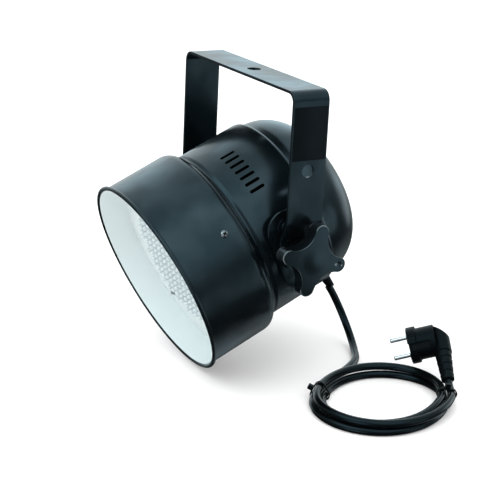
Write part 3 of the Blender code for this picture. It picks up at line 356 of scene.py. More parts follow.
class Look(Enum):
    """The finishes of the lamp."""

    COAT = PowderCoat("powder_coat", "black_powder_coat", (0.0015, 0.0022, 0.0026), (0.0027, 0.0037, 0.0043),
                      (0.19, 0.28), depth=0.000008, specular=0.42, tint=COLD)
    # the knob's outward edges get a painted highlight
    KNOB = Finish("knob_plastic", "black_plastic", (0.0020, 0.0028, 0.0033), (0.0034, 0.0045, 0.0052),
                  (0.17, 0.24), depth=0.000008, edge_highlight=0.11, tint=COLD)
    PLUG = Finish("plug_plastic", "black_plastic", (0.0010, 0.0012, 0.0014), (0.0018, 0.0021, 0.0024),
                  (0.36, 0.48), grain=900.0, depth=0.000020, specular=0.10, tint=COLD)
    SHEATH = Finish("cable_sheath", "black_rubber", (0.0012, 0.0015, 0.0018), (0.0022, 0.0027, 0.0030),
                    (0.15, 0.23), depth=0.000006, specular=0.22, tint=COLD)
    RUBBER = Finish("boot_rubber", "black_rubber", (0.0010, 0.0012, 0.0014), (0.0020, 0.0023, 0.0026),
                    (0.40, 0.54), grain=1100.0, specular=0.14, tint=COLD)
    LINER = Finish("white_liner_paint", "white_liner", (0.655, 0.710, 0.715), (0.685, 0.740, 0.745),
                   (0.5, 0.6), depth=0.00001, specular=0.3)
    BOARD = Finish("white_board_mask", "white_board", (0.630, 0.680, 0.685), (0.660, 0.710, 0.715),
                   (0.45, 0.6), depth=0.000006, specular=0.3)
    LENS = Finish("diode_lens", "white_board", (0.57, 0.63, 0.65), (0.63, 0.69, 0.70), (0.10, 0.18),
                  depth=0.000002, specular=0.35)
    ZINC = Finish("zinc_plate", "zinc_steel", (0.50, 0.53, 0.54), (0.64, 0.67, 0.68), (0.24, 0.38), 1.0,
                  patches=260.0, depth=0.000006)
    SCREW = Finish("screw_zinc", "zinc_steel", (0.15, 0.17, 0.18), (0.25, 0.28, 0.295), (0.22, 0.34), 1.0,
                   patches=600.0, depth=0.000004)
    NICKEL = Finish("nickel_plate", "zinc_steel", (0.66, 0.70, 0.72), (0.78, 0.82, 0.84), (0.14, 0.24), 1.0,
                    patches=180.0, depth=0.000003, stretch=(1.0, 1.0, 0.2))
    # earth strips painted near black: painted shade of the notch they sit in, instead of their bright metal
    STRIP = Finish("dark_strip", "brass", (0.008, 0.009, 0.010), (0.016, 0.018, 0.019), (0.40, 0.52), 1.0,
                   patches=300.0, depth=0.000004)
    BRASS = Finish("plain_brass", "brass", (0.58, 0.44, 0.22), (0.70, 0.54, 0.28), (0.28, 0.42), 1.0,
                   patches=200.0, depth=0.000005)
    STEEL = Finish("sheet_steel", "plain_steel", (0.42, 0.43, 0.44), (0.52, 0.53, 0.54), (0.34, 0.5), 1.0,
                   patches=120.0, depth=0.000006, stretch=(0.1, 1.0, 1.0))
    GREEN = CircuitBoard("circuit_board", "green_board", (0.02, 0.15, 0.06), (0.05, 0.24, 0.10),
                         (0.3, 0.45), depth=0.00003)
    LABEL = Finish("label_foil", "black_powder_coat", (0.0022, 0.0026, 0.0030), (0.0034, 0.0040, 0.0045),
                   (0.34, 0.44), patches=60.0, depth=0.000004, specular=0.12, tint=COLD)
    # near-black plastic of the socket cups, and painted shade on the faces of the screws' cross recesses
    DARK = Finish("inner_black", "black_plastic", (0.0016, 0.0018, 0.0020), (0.0028, 0.0030, 0.0033),
                  (0.6, 0.75), specular=0.25)
    PAPER = LitPaper("studio_floor", "", (0.985, 0.915, 0.895), (0.99, 0.92, 0.90), (0.9, 0.95),
                     depth=0.0, specular=0.1)

    @property
    def material(self) -> bpy.types.Material:
        """The finish's material, built when it is first used."""
        return bpy.data.materials.get(self.value.name) or self.value.material()


# ---------------------------------------------------------------- mesh making

SHARP = 38.0  # least angle in degrees of an edge that stays sharp
WELD = 1e-6  # points closer than this are one
SNAP = 1e-5  # places closer than this count as the same
SIDE_SHARE = 0.499  # the most of a side that the rounding of one corner takes


def fillet(corners: Sequence[tuple[float, ...]], steps: int = 4, closed: bool = False) -> list[Pair]:
    """Round the corners of a path.

    Args:
        corners: (x, y) or (x, y, radius) of each corner.
        steps: Facets of each rounded corner.
        closed: True where the last corner joins the first.

    Returns:
        The path's points.
    """
    points: list[Pair] = []
    count = len(corners)
    for index, corner in enumerate(corners):
        here = Vector(corner[:2])
        inner = closed or 0 < index < count - 1
        if len(corner) < 3 or corner[2] <= 0.0 or not inner:
            points.append((here.x, here.y))
            continue
        back = Vector(corners[index - 1][:2]) - here
        ahead = Vector(corners[(index + 1) % count][:2]) - here
        half = back.angle(ahead) / 2
        reach = min(corner[2] / math.tan(half), back.length * SIDE_SHARE, ahead.length * SIDE_SHARE)
        radius = reach * math.tan(half)
        back.normalize()
        ahead.normalize()
        middle = here + (back + ahead).normalized() * (radius / math.sin(half))
        start, end = here + back * reach - middle, here + ahead * reach - middle
        points += [tuple(middle + start.lerp(end, step / steps).normalized() * radius)
                   for step in range(steps + 1)]
    return points


def polar(radius: float, turn: float) -> Pair:
    """The point at a radius and at a turn in radians."""
    return radius * math.cos(turn), radius * math.sin(turn)


def arc(middle: Pair, radius: float | Pair, start: float, end: float, steps: int) -> list[Pair]:
    """Points of an arc of a circle or an upright ellipse.

    Args:
        middle: Its centre.
        radius: Radius, or the radii along x and y.
        start: Angle in degrees of the first point.
        end: Angle of the last point.
        steps: Number of facets.

    Returns:
        The points.
    """
    wide, high = radius if isinstance(radius, tuple) else (radius, radius)
    turns = np.radians(np.linspace(start, end, steps + 1))
    return [(middle[0] + wide * math.cos(turn), middle[1] + high * math.sin(turn)) for turn in turns]


def frame(origin: Sequence[float], x_axis: Sequence[float], y_axis: Sequence[float]) -> Matrix:
    """A placement from an origin and two of its axes.

    Args:
        origin: Its origin.
        x_axis: Direction of its X axis, of any length.
        y_axis: Direction of its Y axis, square to the first.

    Returns:
        The placement.
    """
    first, second = Vector(x_axis).normalized(), Vector(y_axis).normalized()
    axes = Matrix((first, second, first.cross(second))).transposed().to_4x4()
    return Matrix.Translation(Vector(origin)) @ axes


def along(way: Sequence[float], origin: Sequence[float] = (0, 0, 0),
          guide: Sequence[float] = (0, 0, 1)) -> Matrix:
    """A placement whose Z axis runs along a direction.

    Args:
        way: The direction.
        origin: The placement's origin.
        guide: A direction that its X axis is square to.

    Returns:
        The placement.
    """
    z_axis = Vector(way).normalized()
    x_axis = Vector(guide).cross(z_axis).normalized()
    return frame(origin, x_axis, z_axis.cross(x_axis))


def shifted(x: float = 0.0, y: float = 0.0, z: float = 0.0) -> Matrix:
    """A placement that only moves."""
    return Matrix.Translation((x, y, z))


def turned(degrees: float, axis: str = "Z") -> Matrix:
    """A placement that only turns about an axis."""
    return Matrix.Rotation(math.radians(degrees), 4, axis)


def smooth(mesh: bpy.types.Mesh, sharp: float = SHARP, outward: bool = True,
           weld: float = 0.0) -> bpy.types.Mesh:
    """Clean a mesh and shade it smooth but for its sharp edges.

    Args:
        mesh: The mesh.
        sharp: Least angle in degrees of an edge that stays sharp.
        outward: True where faces are to point outwards.
        weld: Distance within which points are joined.

    Returns:
        The same mesh.
    """
    bm = bmesh.new()
    bm.from_mesh(mesh)
    if weld:
        bmesh.ops.remove_doubles(bm, verts=bm.verts, dist=weld)
    if outward:
        bmesh.ops.recalc_face_normals(bm, faces=bm.faces)
    bm.to_mesh(mesh)
    bm.free()
    mesh.shade_smooth()
    mesh.set_sharp_from_angle(angle=math.radians(sharp))
    return mesh


class Shape:
    """Points and faces of one mesh while it is put together."""

    def __init__(self) -> None:
        self.points: list[Point] = []
        self.faces: list[tuple[int, ...]] = []

    def rows(self, rows: Sequence[Sequence[Point]], wrap: bool = False, loop: bool = False) -> "Shape":
        """Join rows of points with quads; a row of one point is a pole.

        Args:
            rows: Rows of points, each of the same length or of one.
            wrap: True where each row's last point joins its first.
            loop: True where the last row joins the first.

        Returns:
            The shape itself.
        """
        starts = []
        for row in rows:
            starts.append((len(self.points), len(row)))
            self.points += [tuple(point) for point in row]
        pairs = list(zip(starts, starts[1:] + starts[:1]))
        for (low, low_count), (high, high_count) in pairs if loop else pairs[:-1]:
            count = max(low_count, high_count)
            for index in range(count if wrap else count - 1):
                after = (index + 1) % count
                corners = [low + index % low_count, low + after % low_count, high + after % high_count,
                           high + index % high_count]
                self.faces.append(tuple(dict.fromkeys(corners)))
        return self

    def lathe(self, profile: Sequence[Pair], steps: int = 64, closed: bool = False,
              wave: Callable[[float, float], float] | None = None) -> "Shape":
        """Revolve a profile about Z.

        Args:
            profile: (radius, z) points; a point on the axis is a pole.
            steps: Facets round the axis.
            closed: True where the profile's last point joins its first.
            wave: Factor of the radius from the radius's height z and the turn in radians.

        Returns:
            The shape itself.
        """
        turns = [2 * math.pi * step / steps for step in range(steps)]
        rows = []
        for radius, z in profile:
            if radius < WELD:
                rows.append([(0.0, 0.0, z)])
            else:
                rows.append([(*polar(radius * (wave(z, turn) if wave else 1.0), turn), z) for turn in turns])
        return self.rows(rows, wrap=True, loop=closed)

    def tube(self, inner: float, outer: float, low: float, high: float, steps: int,
             edge: float = 0.0) -> "Shape":
        """Add a tube along Z, or a rod where its inner radius is 0.

        Args:
            inner: Inner radius.
            outer: Outer radius.
            low: Height of its lower end.
            high: Height of its upper end.
            steps: Facets round the axis.
            edge: Radius of its edges.

        Returns:
            The shape itself.
        """
        corners = [(inner, low), (outer, low), (outer, high), (inner, high)]
        if edge:
            corners = fillet([(*corner, edge) for corner in corners], 3, closed=True)
        return self.lathe(corners, steps, closed=inner > 0.0)

    def prism(self, low: Sequence[Point], high: Sequence[Point]) -> "Shape":
        """Add a closed solid between two rings of four points.

        Args:
            low: The lower ring.
            high: The upper ring.

        Returns:
            The shape itself.
        """
        start = len(self.points)
        self.rows([low, high], wrap=True)
        self.faces += [tuple(start + index for index in cap) for cap in ((3, 2, 1, 0), (4, 5, 6, 7))]
        return self

    def block(self, low: Point, high: Point) -> "Shape":
        """Add a box between two corners, and give back the shape itself."""
        ring = [(low[0], low[1]), (high[0], low[1]), (high[0], high[1]), (low[0], high[1])]
        return self.prism(*([(x, y, z) for x, y in ring] for z in (low[2], high[2])))

    def moved(self, matrix: Matrix) -> "Shape":
        """Copy the shape to another place.

        Args:
            matrix: The placement.

        Returns:
            The copy.
        """
        other = Shape()
        other.points = [tuple(matrix @ Vector(point)) for point in self.points]
        other.faces = list(self.faces)
        return other

    def add(self, other: "Shape") -> "Shape":
        """Take in another shape.

        Args:
            other: The other shape.

        Returns:
            The shape itself.
        """
        start = len(self.points)
        self.points += other.points
        self.faces += [tuple(start + index for index in face) for face in other.faces]
        return self

    def mesh(self, name: str, sharp: float = SHARP, closed: bool = True) -> bpy.types.Mesh:
        """Make the mesh, smooth but for its sharp edges.

        Args:
            name: Name of the mesh.
            sharp: Least angle in degrees of an edge that stays sharp.
            closed: True where faces are to point outwards.

        Returns:
            The mesh.
        """
        mesh = bpy.data.meshes.new(name)
        mesh.from_pydata(self.points, [], self.faces)
        return smooth(mesh, sharp, closed)


def plate_mesh(name: str, outlines: Sequence[Sequence[Pair]], low: float, high: float, edge: float,
               segments: int = 2) -> bpy.types.Mesh:
    """A flat plate with rounded edges, from z = low to z = high.

    Args:
        name: Name of the mesh.
        outlines: The outer outline, then the holes.
        low: Lower face.
        high: Upper face.
        edge: Radius of the rounded edges.
        segments: Facets of the rounding.

    Returns:
        The mesh.
    """
    curve = bpy.data.curves.new(name, "CURVE")
    curve.dimensions, curve.fill_mode = "2D", "BOTH"
    curve.extrude, curve.offset = (high - low) / 2 - edge, -edge
    curve.bevel_depth, curve.bevel_resolution = edge, segments
    for index, outline in enumerate(outlines):
        area = sum(a[0] * b[1] - b[0] * a[1] for a, b in zip(outline, [*outline[1:], outline[0]]))
        ordered = outline if (area > 0) == (index == 0) else outline[::-1]
        spline = curve.splines.new("POLY")
        spline.points.add(len(ordered) - 1)
        spline.points.foreach_set("co", [n for x, y in ordered for n in (x, y, 0.0, 1.0)])
        spline.use_cyclic_u = True
    guide = bpy.data.objects.new(name, curve)
    bpy.context.scene.collection.objects.link(guide)
    mesh = bpy.data.meshes.new_from_object(guide.evaluated_get(bpy.context.evaluated_depsgraph_get()))
    bpy.data.objects.remove(guide, do_unlink=True)
    mesh.transform(shifted(z=(low + high) / 2))
    return smooth(mesh, weld=WELD)


def ring_outline(radius: float, middle: Pair = (0.0, 0.0), steps: int = 48) -> list[Pair]:
    """A round outline."""
    return arc(middle, radius, 0.0, 360.0, steps)[:-1]


def oblong_outline(length: float, width: float, steps: int = 24) -> list[Pair]:
    """An outline with round ends, long in y."""
    reach = (length - width) / 2
    return arc((0, reach), width / 2, 0, 180, steps) + arc((0, -reach), width / 2, 180, 360, steps)


def corner_outline(width: float, height: float, radius: float) -> list[Pair]:
    """A rectangular outline with round corners."""
    x, y = width / 2, height / 2
    return fillet([(x, y, radius), (-x, y, radius), (-x, -y, radius), (x, -y, radius)], 5, closed=True)


def groove(radius: float, middle: float, half: float, depth: float, lip: tuple[float, ...] = (),
           floor: tuple[float, ...] = ()) -> list[tuple[float, ...]]:
    """Profile of a groove round a turned piece; half its floor is as wide as the groove is deep.

    Args:
        radius: Radius of the piece there.
        middle: Height of the groove's middle.
        half: Half its width at the surface.
        depth: Its depth.
        lip: Radius of its outer edges, where they are rounded.
        floor: Radius of its inner edges, where they are rounded.

    Returns:
        The (radius, height) or (radius, height, rounding) points.
    """
    low = radius - depth
    return [(radius, middle - half, *lip), (low, middle - depth, *floor), (low, middle + depth, *floor),
            (radius, middle + half, *lip)]


@dataclass
class Hole:
    """A round or oblong hole in a panel, with the square of the grid that it takes the place of."""

    u: float
    v: float
    radius: float
    border: float
    reach: float = 0.0
    parts: tuple[int, int] = (6, 6)

    def spans(self) -> tuple[Pair, Pair]:
        """The stretches of u and v that the hole's square covers."""
        side, end = self.radius + self.border, self.radius + self.border + self.reach
        return (self.u - side, self.u + side), (self.v - end, self.v + end)

    def rim(self, point: Sequence[float]) -> Pair:
        """The point of the hole's edge that is nearest to a point."""
        core = Vector((self.u, min(max(point[1], self.v - self.reach), self.v + self.reach)))
        return tuple(core + (Vector(point[:2]) - core).normalized() * self.radius)


class Panel:
    """A sheet with holes: a flat grid that is bent to shape and then gets its thickness."""

    def __init__(self, us: Iterable[float], vs: Iterable[float], holes: Sequence[Hole]) -> None:
        self.holes = list(holes)
        self.us, self.vs = (self.lines(base, [(hole.spans()[side], hole.parts[side]) for hole in holes])
                            for side, base in enumerate((us, vs)))

    @staticmethod
    def lines(base: Iterable[float], spans: Sequence[tuple[Pair, int]]) -> list[float]:
        """Grid lines: the base ones, but evenly spaced ones across each hole.

        Args:
            base: Lines outside the holes.
            spans: Stretch and number of cells of each hole.

        Returns:
            The lines in order.
        """
        kept = [x for x in base if all(not low - SNAP < x < high + SNAP for (low, high), _ in spans)]
        for (low, high), parts in spans:
            kept += list(np.linspace(low, high, parts + 1))
        kept.sort()
        return [x for x, before in zip(kept, [kept[0] - 1.0, *kept]) if x - before > WELD]

    def shape(self, bend: Callable[[float, float], Point], wrap: bool = False,
              warp: Callable[[float, float], Pair] = lambda u, v: (u, v)) -> Shape:
        """Build the bent sheet.

        Args:
            bend: Place in space of a point of the flat sheet.
            wrap: True where the last column joins the first.
            warp: A change of the flat grid's outline before the holes are cut.

        Returns:
            The sheet's middle or outer face.
        """
        shape = Shape()
        flat = [[warp(u, v) for v in self.vs] for u in self.us]
        columns, height = len(self.us), len(self.vs)
        shape.points = [bend(*point) for row in flat for point in row]
        taken = set()
        for hole in self.holes:
            (i0, i1), (j0, j1) = ([int(np.argmin(np.abs(np.array(lines) - end))) for end in span]
                                  for lines, span in zip((self.us, self.vs), hole.spans()))
            taken |= {(i, j) for i in range(i0, i1) for j in range(j0, j1)}
            loop = [(i, j0) for i in range(i0, i1)] + [(i1, j) for j in range(j0, j1)]
            loop += [(i, j1) for i in range(i1, i0, -1)] + [(i0, j) for j in range(j1, j0, -1)]
            start = len(shape.points)
            shape.points += [bend(*hole.rim(flat[i][j])) for i, j in loop]
            for index, (i, j) in enumerate(loop):
                after = (index + 1) % len(loop)
                k, m = loop[after]
                shape.faces.append((i * height + j, k * height + m, start + after, start + index))
        for i in range(columns if wrap else columns - 1):
            here, after = i * height, (i + 1) % columns * height
            shape.faces += [(here + j, after + j, after + j + 1, here + j + 1) for j in range(height - 1)
                            if (i, j) not in taken]
        return shape


# ---------------------------------------------------------------- places shared by the pieces

PIVOT_DROP = 0.1637  # the tilt axis below the top of the yoke
PIVOT_AXIAL = 0.1163  # the tilt axis behind the can's rim
PIVOT_HOLE = 0.0045  # radius of the holes that the pivot bolts pass through
REST_TILT = 25.0  # how far the nose points below level, in degrees
TOP = 270.0  # where the can's top is, in degrees round its axis
SHEET = 0.0012  # thickness of the shells
GAP = 0.0003  # clearance between pieces that meet
BARREL_RADIUS = 0.0952
SURFACE = -0.316  # height that the lead lies on
CAN = shifted(z=-PIVOT_DROP) @ turned(REST_TILT - 90.0, "X")


def axial(distance: float) -> float:
    """Height in the can's frame of a place so far behind its rim."""
    return distance - PIVOT_AXIAL


def radial(angle: float, distance: float) -> Matrix:
    """A placement on the can's axis whose Z axis points out at an angle, so far behind the rim."""
    return CAN @ along((*polar(1.0, math.radians(angle)), 0.0), (0, 0, axial(distance)))


# ---------------------------------------------------------------- pieces


def put(mesh: bpy.types.ID, name: str, look: Look, instead: Sequence[str] = (), place: Matrix = CAN,
        body: str = "can") -> bpy.types.Object:
    """Add a piece to the scene, on its body and with its finish.

    Args:
        mesh: The piece's mesh or curve.
        name: Name of the piece.
        look: Its finish.
        instead: CAD nodes that it stands for.
        place: Its placement.
        body: The body that it rides on.

    Returns:
        The piece.
    """
    thing = bpy.data.objects.new(name, mesh)
    if not mesh.materials:
        mesh.materials.append(look.material)
    thing.matrix_world = place
    bpy.context.scene.collection.objects.link(thing)
    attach(thing, body)
    if instead:
        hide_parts(*instead)
    LOG.info("%s on %s", name, body)
    return thing


def even(thing: bpy.types.Object) -> bpy.types.Object:
    """Weight a piece's normals by face area, so that flat faces stay flat beside rounded edges."""
    thing.modifiers.new("normals", "WEIGHTED_NORMAL").keep_sharp = True
    return thing


def soften(thing: bpy.types.Object, width: float, segments: int = 3, angle: float = 30.0) -> bpy.types.Object:
    """Round the edges of a piece.

    Args:
        thing: The piece.
        width: Width of the rounding.
        segments: Its facets.
        angle: Least angle in degrees of an edge that gets rounded.

    Returns:
        The piece.
    """
    modifier = thing.modifiers.new("edges", "BEVEL")
    modifier.width, modifier.segments = width, segments
    modifier.limit_method, modifier.angle_limit = "ANGLE", math.radians(angle)
    return even(thing)


def thicken(thing: bpy.types.Object, thickness: float, offset: float, edge: float) -> bpy.types.Object:
    """Give a sheet its thickness and rounded edges.

    Args:
        thing: The sheet.
        thickness: Its thickness.
        offset: -1 to thicken below the mesh, 0 on both sides.
        edge: Radius of its edges.

    Returns:
        The sheet.
    """
    solid = thing.modifiers.new("sheet", "SOLIDIFY")
    solid.thickness, solid.offset, solid.use_even_offset = thickness, offset, True
    return soften(thing, edge, 2, 50.0)


def carve(mesh: bpy.types.Mesh, *cutters: bpy.types.Mesh) -> bpy.types.Mesh:
    """Cut meshes out of a mesh.

    Args:
        mesh: The mesh that is cut.
        cutters: The meshes that are taken away.

    Returns:
        The cut mesh.
    """
    helpers = [bpy.data.objects.new("cut", data) for data in (mesh, *cutters)]
    for helper in helpers:
        bpy.context.scene.collection.objects.link(helper)
    for helper in helpers[1:]:
        modifier = helpers[0].modifiers.new("cut", "BOOLEAN")
        modifier.object, modifier.operation, modifier.solver = helper, "DIFFERENCE", "EXACT"
        modifier.material_mode = "TRANSFER" if mesh.materials else "INDEX"
    result = bpy.data.meshes.new_from_object(helpers[0].evaluated_get(bpy.context.evaluated_depsgraph_get()))
    result.name = mesh.name
    for helper in helpers:
        bpy.data.objects.remove(helper, do_unlink=True)
    result.set_sharp_from_angle(angle=math.radians(SHARP))
    return result


# ---------------------------------------------------------------- screws


@dataclass
class PanScrew:
    """A pan head screw with a cross recess; its seat is at z = 0."""

    head: float = 0.0036
    height: float = 0.0020
    shank: float = 0.0018
    length: float = 0.006
    flange: float = 0.0
    flange_height: float = 0.0
    slot: float = 0.0011
    look: Look = Look.ZINC
    edges: Pair = (0.0003, 0.0002)  # rounding of the flange's edges and of the head's foot
    crown: Pair = (0.55, 0.002)  # share of the head that is flat on top, and its rounding
    arm: float = 0.56  # arm of the cross as a share of the head's radius
    floor: Triple = (0.35, 0.3, 0.05)  # shares of arm, slot and height at the recess's floor
    mouth: Triple = (1.2, 0.62, 0.001)  # shares of arm and slot at its mouth, so far above the head
    lean: float = 20.0

    def mesh(self, name: str) -> bpy.types.Mesh:
        """Build the screw.

        Args:
            name: Name of the mesh.

        Returns:
            The mesh.
        """
        base, top = self.flange_height, self.flange_height + self.height
        corners: list[tuple[float, ...]] = [(self.shank, -self.length), (self.shank, 0.0)]
        if self.flange:
            corners += [(self.flange, 0.0, self.edges[0]), (self.flange, base * 0.55, self.edges[0])]
        corners += [(self.head, base, self.edges[1]), (self.head, base + self.height * 0.45, self.height / 2),
                    (self.head * self.crown[0], top, self.crown[1]), (0.0, top)]
        body = Shape().lathe([(0.0, -self.length), *fillet(corners, 5)], 40)
        levels = (*self.floor[:2], base + self.height * self.floor[2]), (*self.mouth[:2], top + self.mouth[2])
        sizes = [(self.head * self.arm * reach, self.slot * width, z) for reach, width, z in levels]
        recess = Shape().prism(*([(-x, -y, z), (x, -y, z), (x, y, z), (-x, y, z)] for x, y, z in sizes))
        cutters = [recess.moved(turned(self.lean + turn)).mesh("recess") for turn in (0.0, 90.0)]
        # the cross recess's faces take near-black painted shade, darker than the screw's own metal
        for cutter in cutters:
            cutter.materials.append(Look.DARK.material)
        head = body.mesh(name)
        head.materials.append(self.look.material)
        return carve(head, *cutters)


# ---------------------------------------------------------------- shells


@dataclass
class Shells:
    """Front collar with its rolled bead, vented barrel, rear dome and the screws that hold them."""

    collar: float = 0.1047
    collar_length: float = 0.080
    bead: float = 0.0022
    overhang: float = 0.0016
    shoulder: float = 0.011
    collar_rows: Triple = (0.012, 0.03, 0.05)  # rows of points on the straight wall
    barrel_front: float = 0.0666
    barrel_rows: float = 0.096  # where the evenly spaced rows of the barrel begin
    barrel_end: float = 0.161
    barrel_edge: float = 0.0003
    lip: float = 0.005
    lip_turn: float = 70.0
    groove: Pair = (0.0840, 0.0044)  # middle behind the rim, and half the width
    groove_depth: float = 0.0016
    slots: int = 7
    slot_size: Pair = (0.017, 0.0032)  # length and width
    slot_border: float = 0.0013
    slot_pitch: float = 5.25
    slot_middle: float = 31.0
    slot_axial: float = 0.1145
    dome: float = 0.0906
    dome_start: float = 0.1634
    knuckle: float = 0.049
    crown: float = 0.165
    back_flat: float = 0.046
    skirt: float = 0.012
    drill: float = 0.01
    screw_insets: Pair = (0.023, 0.010)  # from the collar's rear edge and from the barrel's
    steps: int = 192

    @property
    def bore(self) -> float:
        """Inside radius of the collar."""
        return self.collar - SHEET

    def collar_mesh(self) -> bpy.types.Mesh:
        """Make the collar: rolled bead, straight wall and rounded shoulder, as one closed sheet.

        Returns:
            The mesh.
        """
        bead = (self.bore + self.bead, axial(self.bead - self.overhang))
        spread = math.degrees(math.acos((bead[0] - self.collar) / self.bead))
        seat = BARREL_RADIUS + GAP
        corner = (seat, axial(self.collar_length - self.shoulder))
        inner = arc(corner, (self.bore - seat, self.shoulder - SHEET), 90, 0, 14)
        outer = arc(corner, (self.collar - seat, self.shoulder), 0, 90, 14)
        wall = [(self.collar, axial(distance)) for distance in self.collar_rows]
        profile = inner + arc(bead, self.bead, 180, 540 - spread, 28) + wall + outer
        return Shape().lathe(profile, self.steps, closed=True).mesh("front_collar", 50.0)

    def vents(self) -> list[Hole]:
        """Set out the slots, left and right of the top.

        Returns:
            The slots as holes of the unrolled barrel.
        """
        length, width = self.slot_size
        middles = [index - (self.slots - 1) / 2 for index in range(self.slots)]
        angles = [TOP + side * self.slot_middle + middle * self.slot_pitch
                  for side in (-1, 1) for middle in middles]
        return [Hole(math.radians(angle) * BARREL_RADIUS, self.slot_axial, width / 2, self.slot_border,
                     (length - width) / 2, (8, 16)) for angle in angles]

    def barrel_shape(self) -> Shape:
        """Bend the barrel's outer face: a groove behind the collar, a wall with slots and a turned in lip.

        Returns:
            The face.
        """
        bend = self.lip * math.radians(self.lip_turn)
        start = self.barrel_end - self.lip
        middle, half = self.groove

        def place(u: float, v: float) -> Point:
            """Place a point of the unrolled sheet.

            Args:
                u: Distance round the barrel.
                v: Distance behind the rim.

            Returns:
                The point in the can's frame.
            """
            past = max(0.0, v - start) / self.lip
            dip = 1.0 + math.cos(math.pi * min(1.0, abs(v - middle) / half))
            radius = BARREL_RADIUS - self.lip * (1.0 - math.cos(past)) - self.groove_depth * dip / 2
            return *polar(radius, u / BARREL_RADIUS), axial(min(v, start) + self.lip * math.sin(past))

        around = np.linspace(0.0, 2 * math.pi * BARREL_RADIUS, 181)[:-1]
        lengths = [self.barrel_front, *np.linspace(middle - half, middle + half, 17),
                   *np.linspace(self.barrel_rows, start, 8), *np.linspace(start, start + bend, 9)[1:]]
        return Panel(around, lengths, self.vents()).shape(place, wrap=True)

    def dome_side(self, depth: float) -> list[Pair]:
        """One face of the dome's sheet from its skirt to the flat back.

        Args:
            depth: Depth of the face below the outer one.

        Returns:
            The (radius, height) points.
        """
        lip = (BARREL_RADIUS - self.lip, axial(self.barrel_end) - self.lip)
        knuckle = (self.dome - self.knuckle, axial(self.dome_start))
        crown = knuckle[1] - math.sqrt((self.crown - self.knuckle) ** 2 - knuckle[0] ** 2)
        meeting = math.degrees(math.atan2(knuckle[1] - crown, knuckle[0]))
        edge = math.degrees(math.acos(self.back_flat / (self.crown - depth)))
        return [(BARREL_RADIUS - SHEET - GAP - depth, lip[1] - self.skirt),
                *arc(lip, self.lip - SHEET - GAP - depth, 0, self.lip_turn + 5, 6),
                *arc(knuckle, self.knuckle - depth, 0, meeting, 20),
                *arc((0.0, crown), self.crown - depth, meeting, edge, 5)[1:]]

    @property
    def back(self) -> float:
        """Height in the can's frame of the flat back."""
        return self.dome_side(0.0)[-1][1]

    def dome_mesh(self, holes: Sequence[Pair], bore: float) -> bpy.types.Mesh:
        """The dome's sheet with round holes in its flat back.

        Args:
            holes: Centres of the holes.
            bore: Their radius.

        Returns:
            The mesh.
        """
        outer, inner = self.dome_side(0.0), self.dome_side(SHEET)
        profile = [(0.0, outer[-1][1]), *outer[::-1], *inner, (0.0, inner[-1][1])]
        drill = Shape().tube(0.0, bore, self.back - self.drill, self.back + self.drill, 64)
        drills = [drill.moved(shifted(x, y)).mesh("drill") for x, y in holes]
        return carve(Shape().lathe(profile, self.steps).mesh("rear_dome"), *drills)

    def build(self, holes: Sequence[Pair], bore: float) -> None:
        """Add the shells and their screws.

        Args:
            holes: Centres of the socket holes in the flat back.
            bore: Radius of those holes.
        """
        put(self.collar_mesh(), "front_collar_sheet", Look.COAT, ["front_collar"])
        wall = self.barrel_shape().mesh("barrel", 180.0, closed=False)
        thicken(put(wall, "barrel_sheet", Look.COAT, ["barrel"]), SHEET, -1.0, self.barrel_edge)
        flange = axial(self.barrel_front)
        ring = Shape().tube(BARREL_RADIUS - SHEET, self.bore - GAP, flange, flange + SHEET, 96)
        put(ring.mesh("barrel_flange"), "barrel_flange", Look.COAT)
        even(put(self.dome_mesh(holes, bore), "rear_dome_sheet", Look.COAT, ["rear_dome"]))
        screw = PanScrew(head=0.0040, height=0.0022, slot=0.0015, look=Look.SCREW).mesh("shell_screw")
        front, rear = self.collar_length - self.screw_insets[0], self.barrel_end - self.screw_insets[1]
        for kind, angles, distance, radius, turn in (
                ("collar_screw", (-30.0, 90.0, 210.0), front, self.collar, 25.0),
                ("rear_screw", (0.0, 90.0, 180.0), rear, BARREL_RADIUS, 40.0)):
            for index, angle in enumerate(angles, start=1):
                node = f"{kind}_{index}"
                place = radial(angle, distance) @ shifted(z=radius) @ turned(turn * index)
                put(screw, f"{node}_head", Look.SCREW, [node], place)


# ---------------------------------------------------------------- light engine


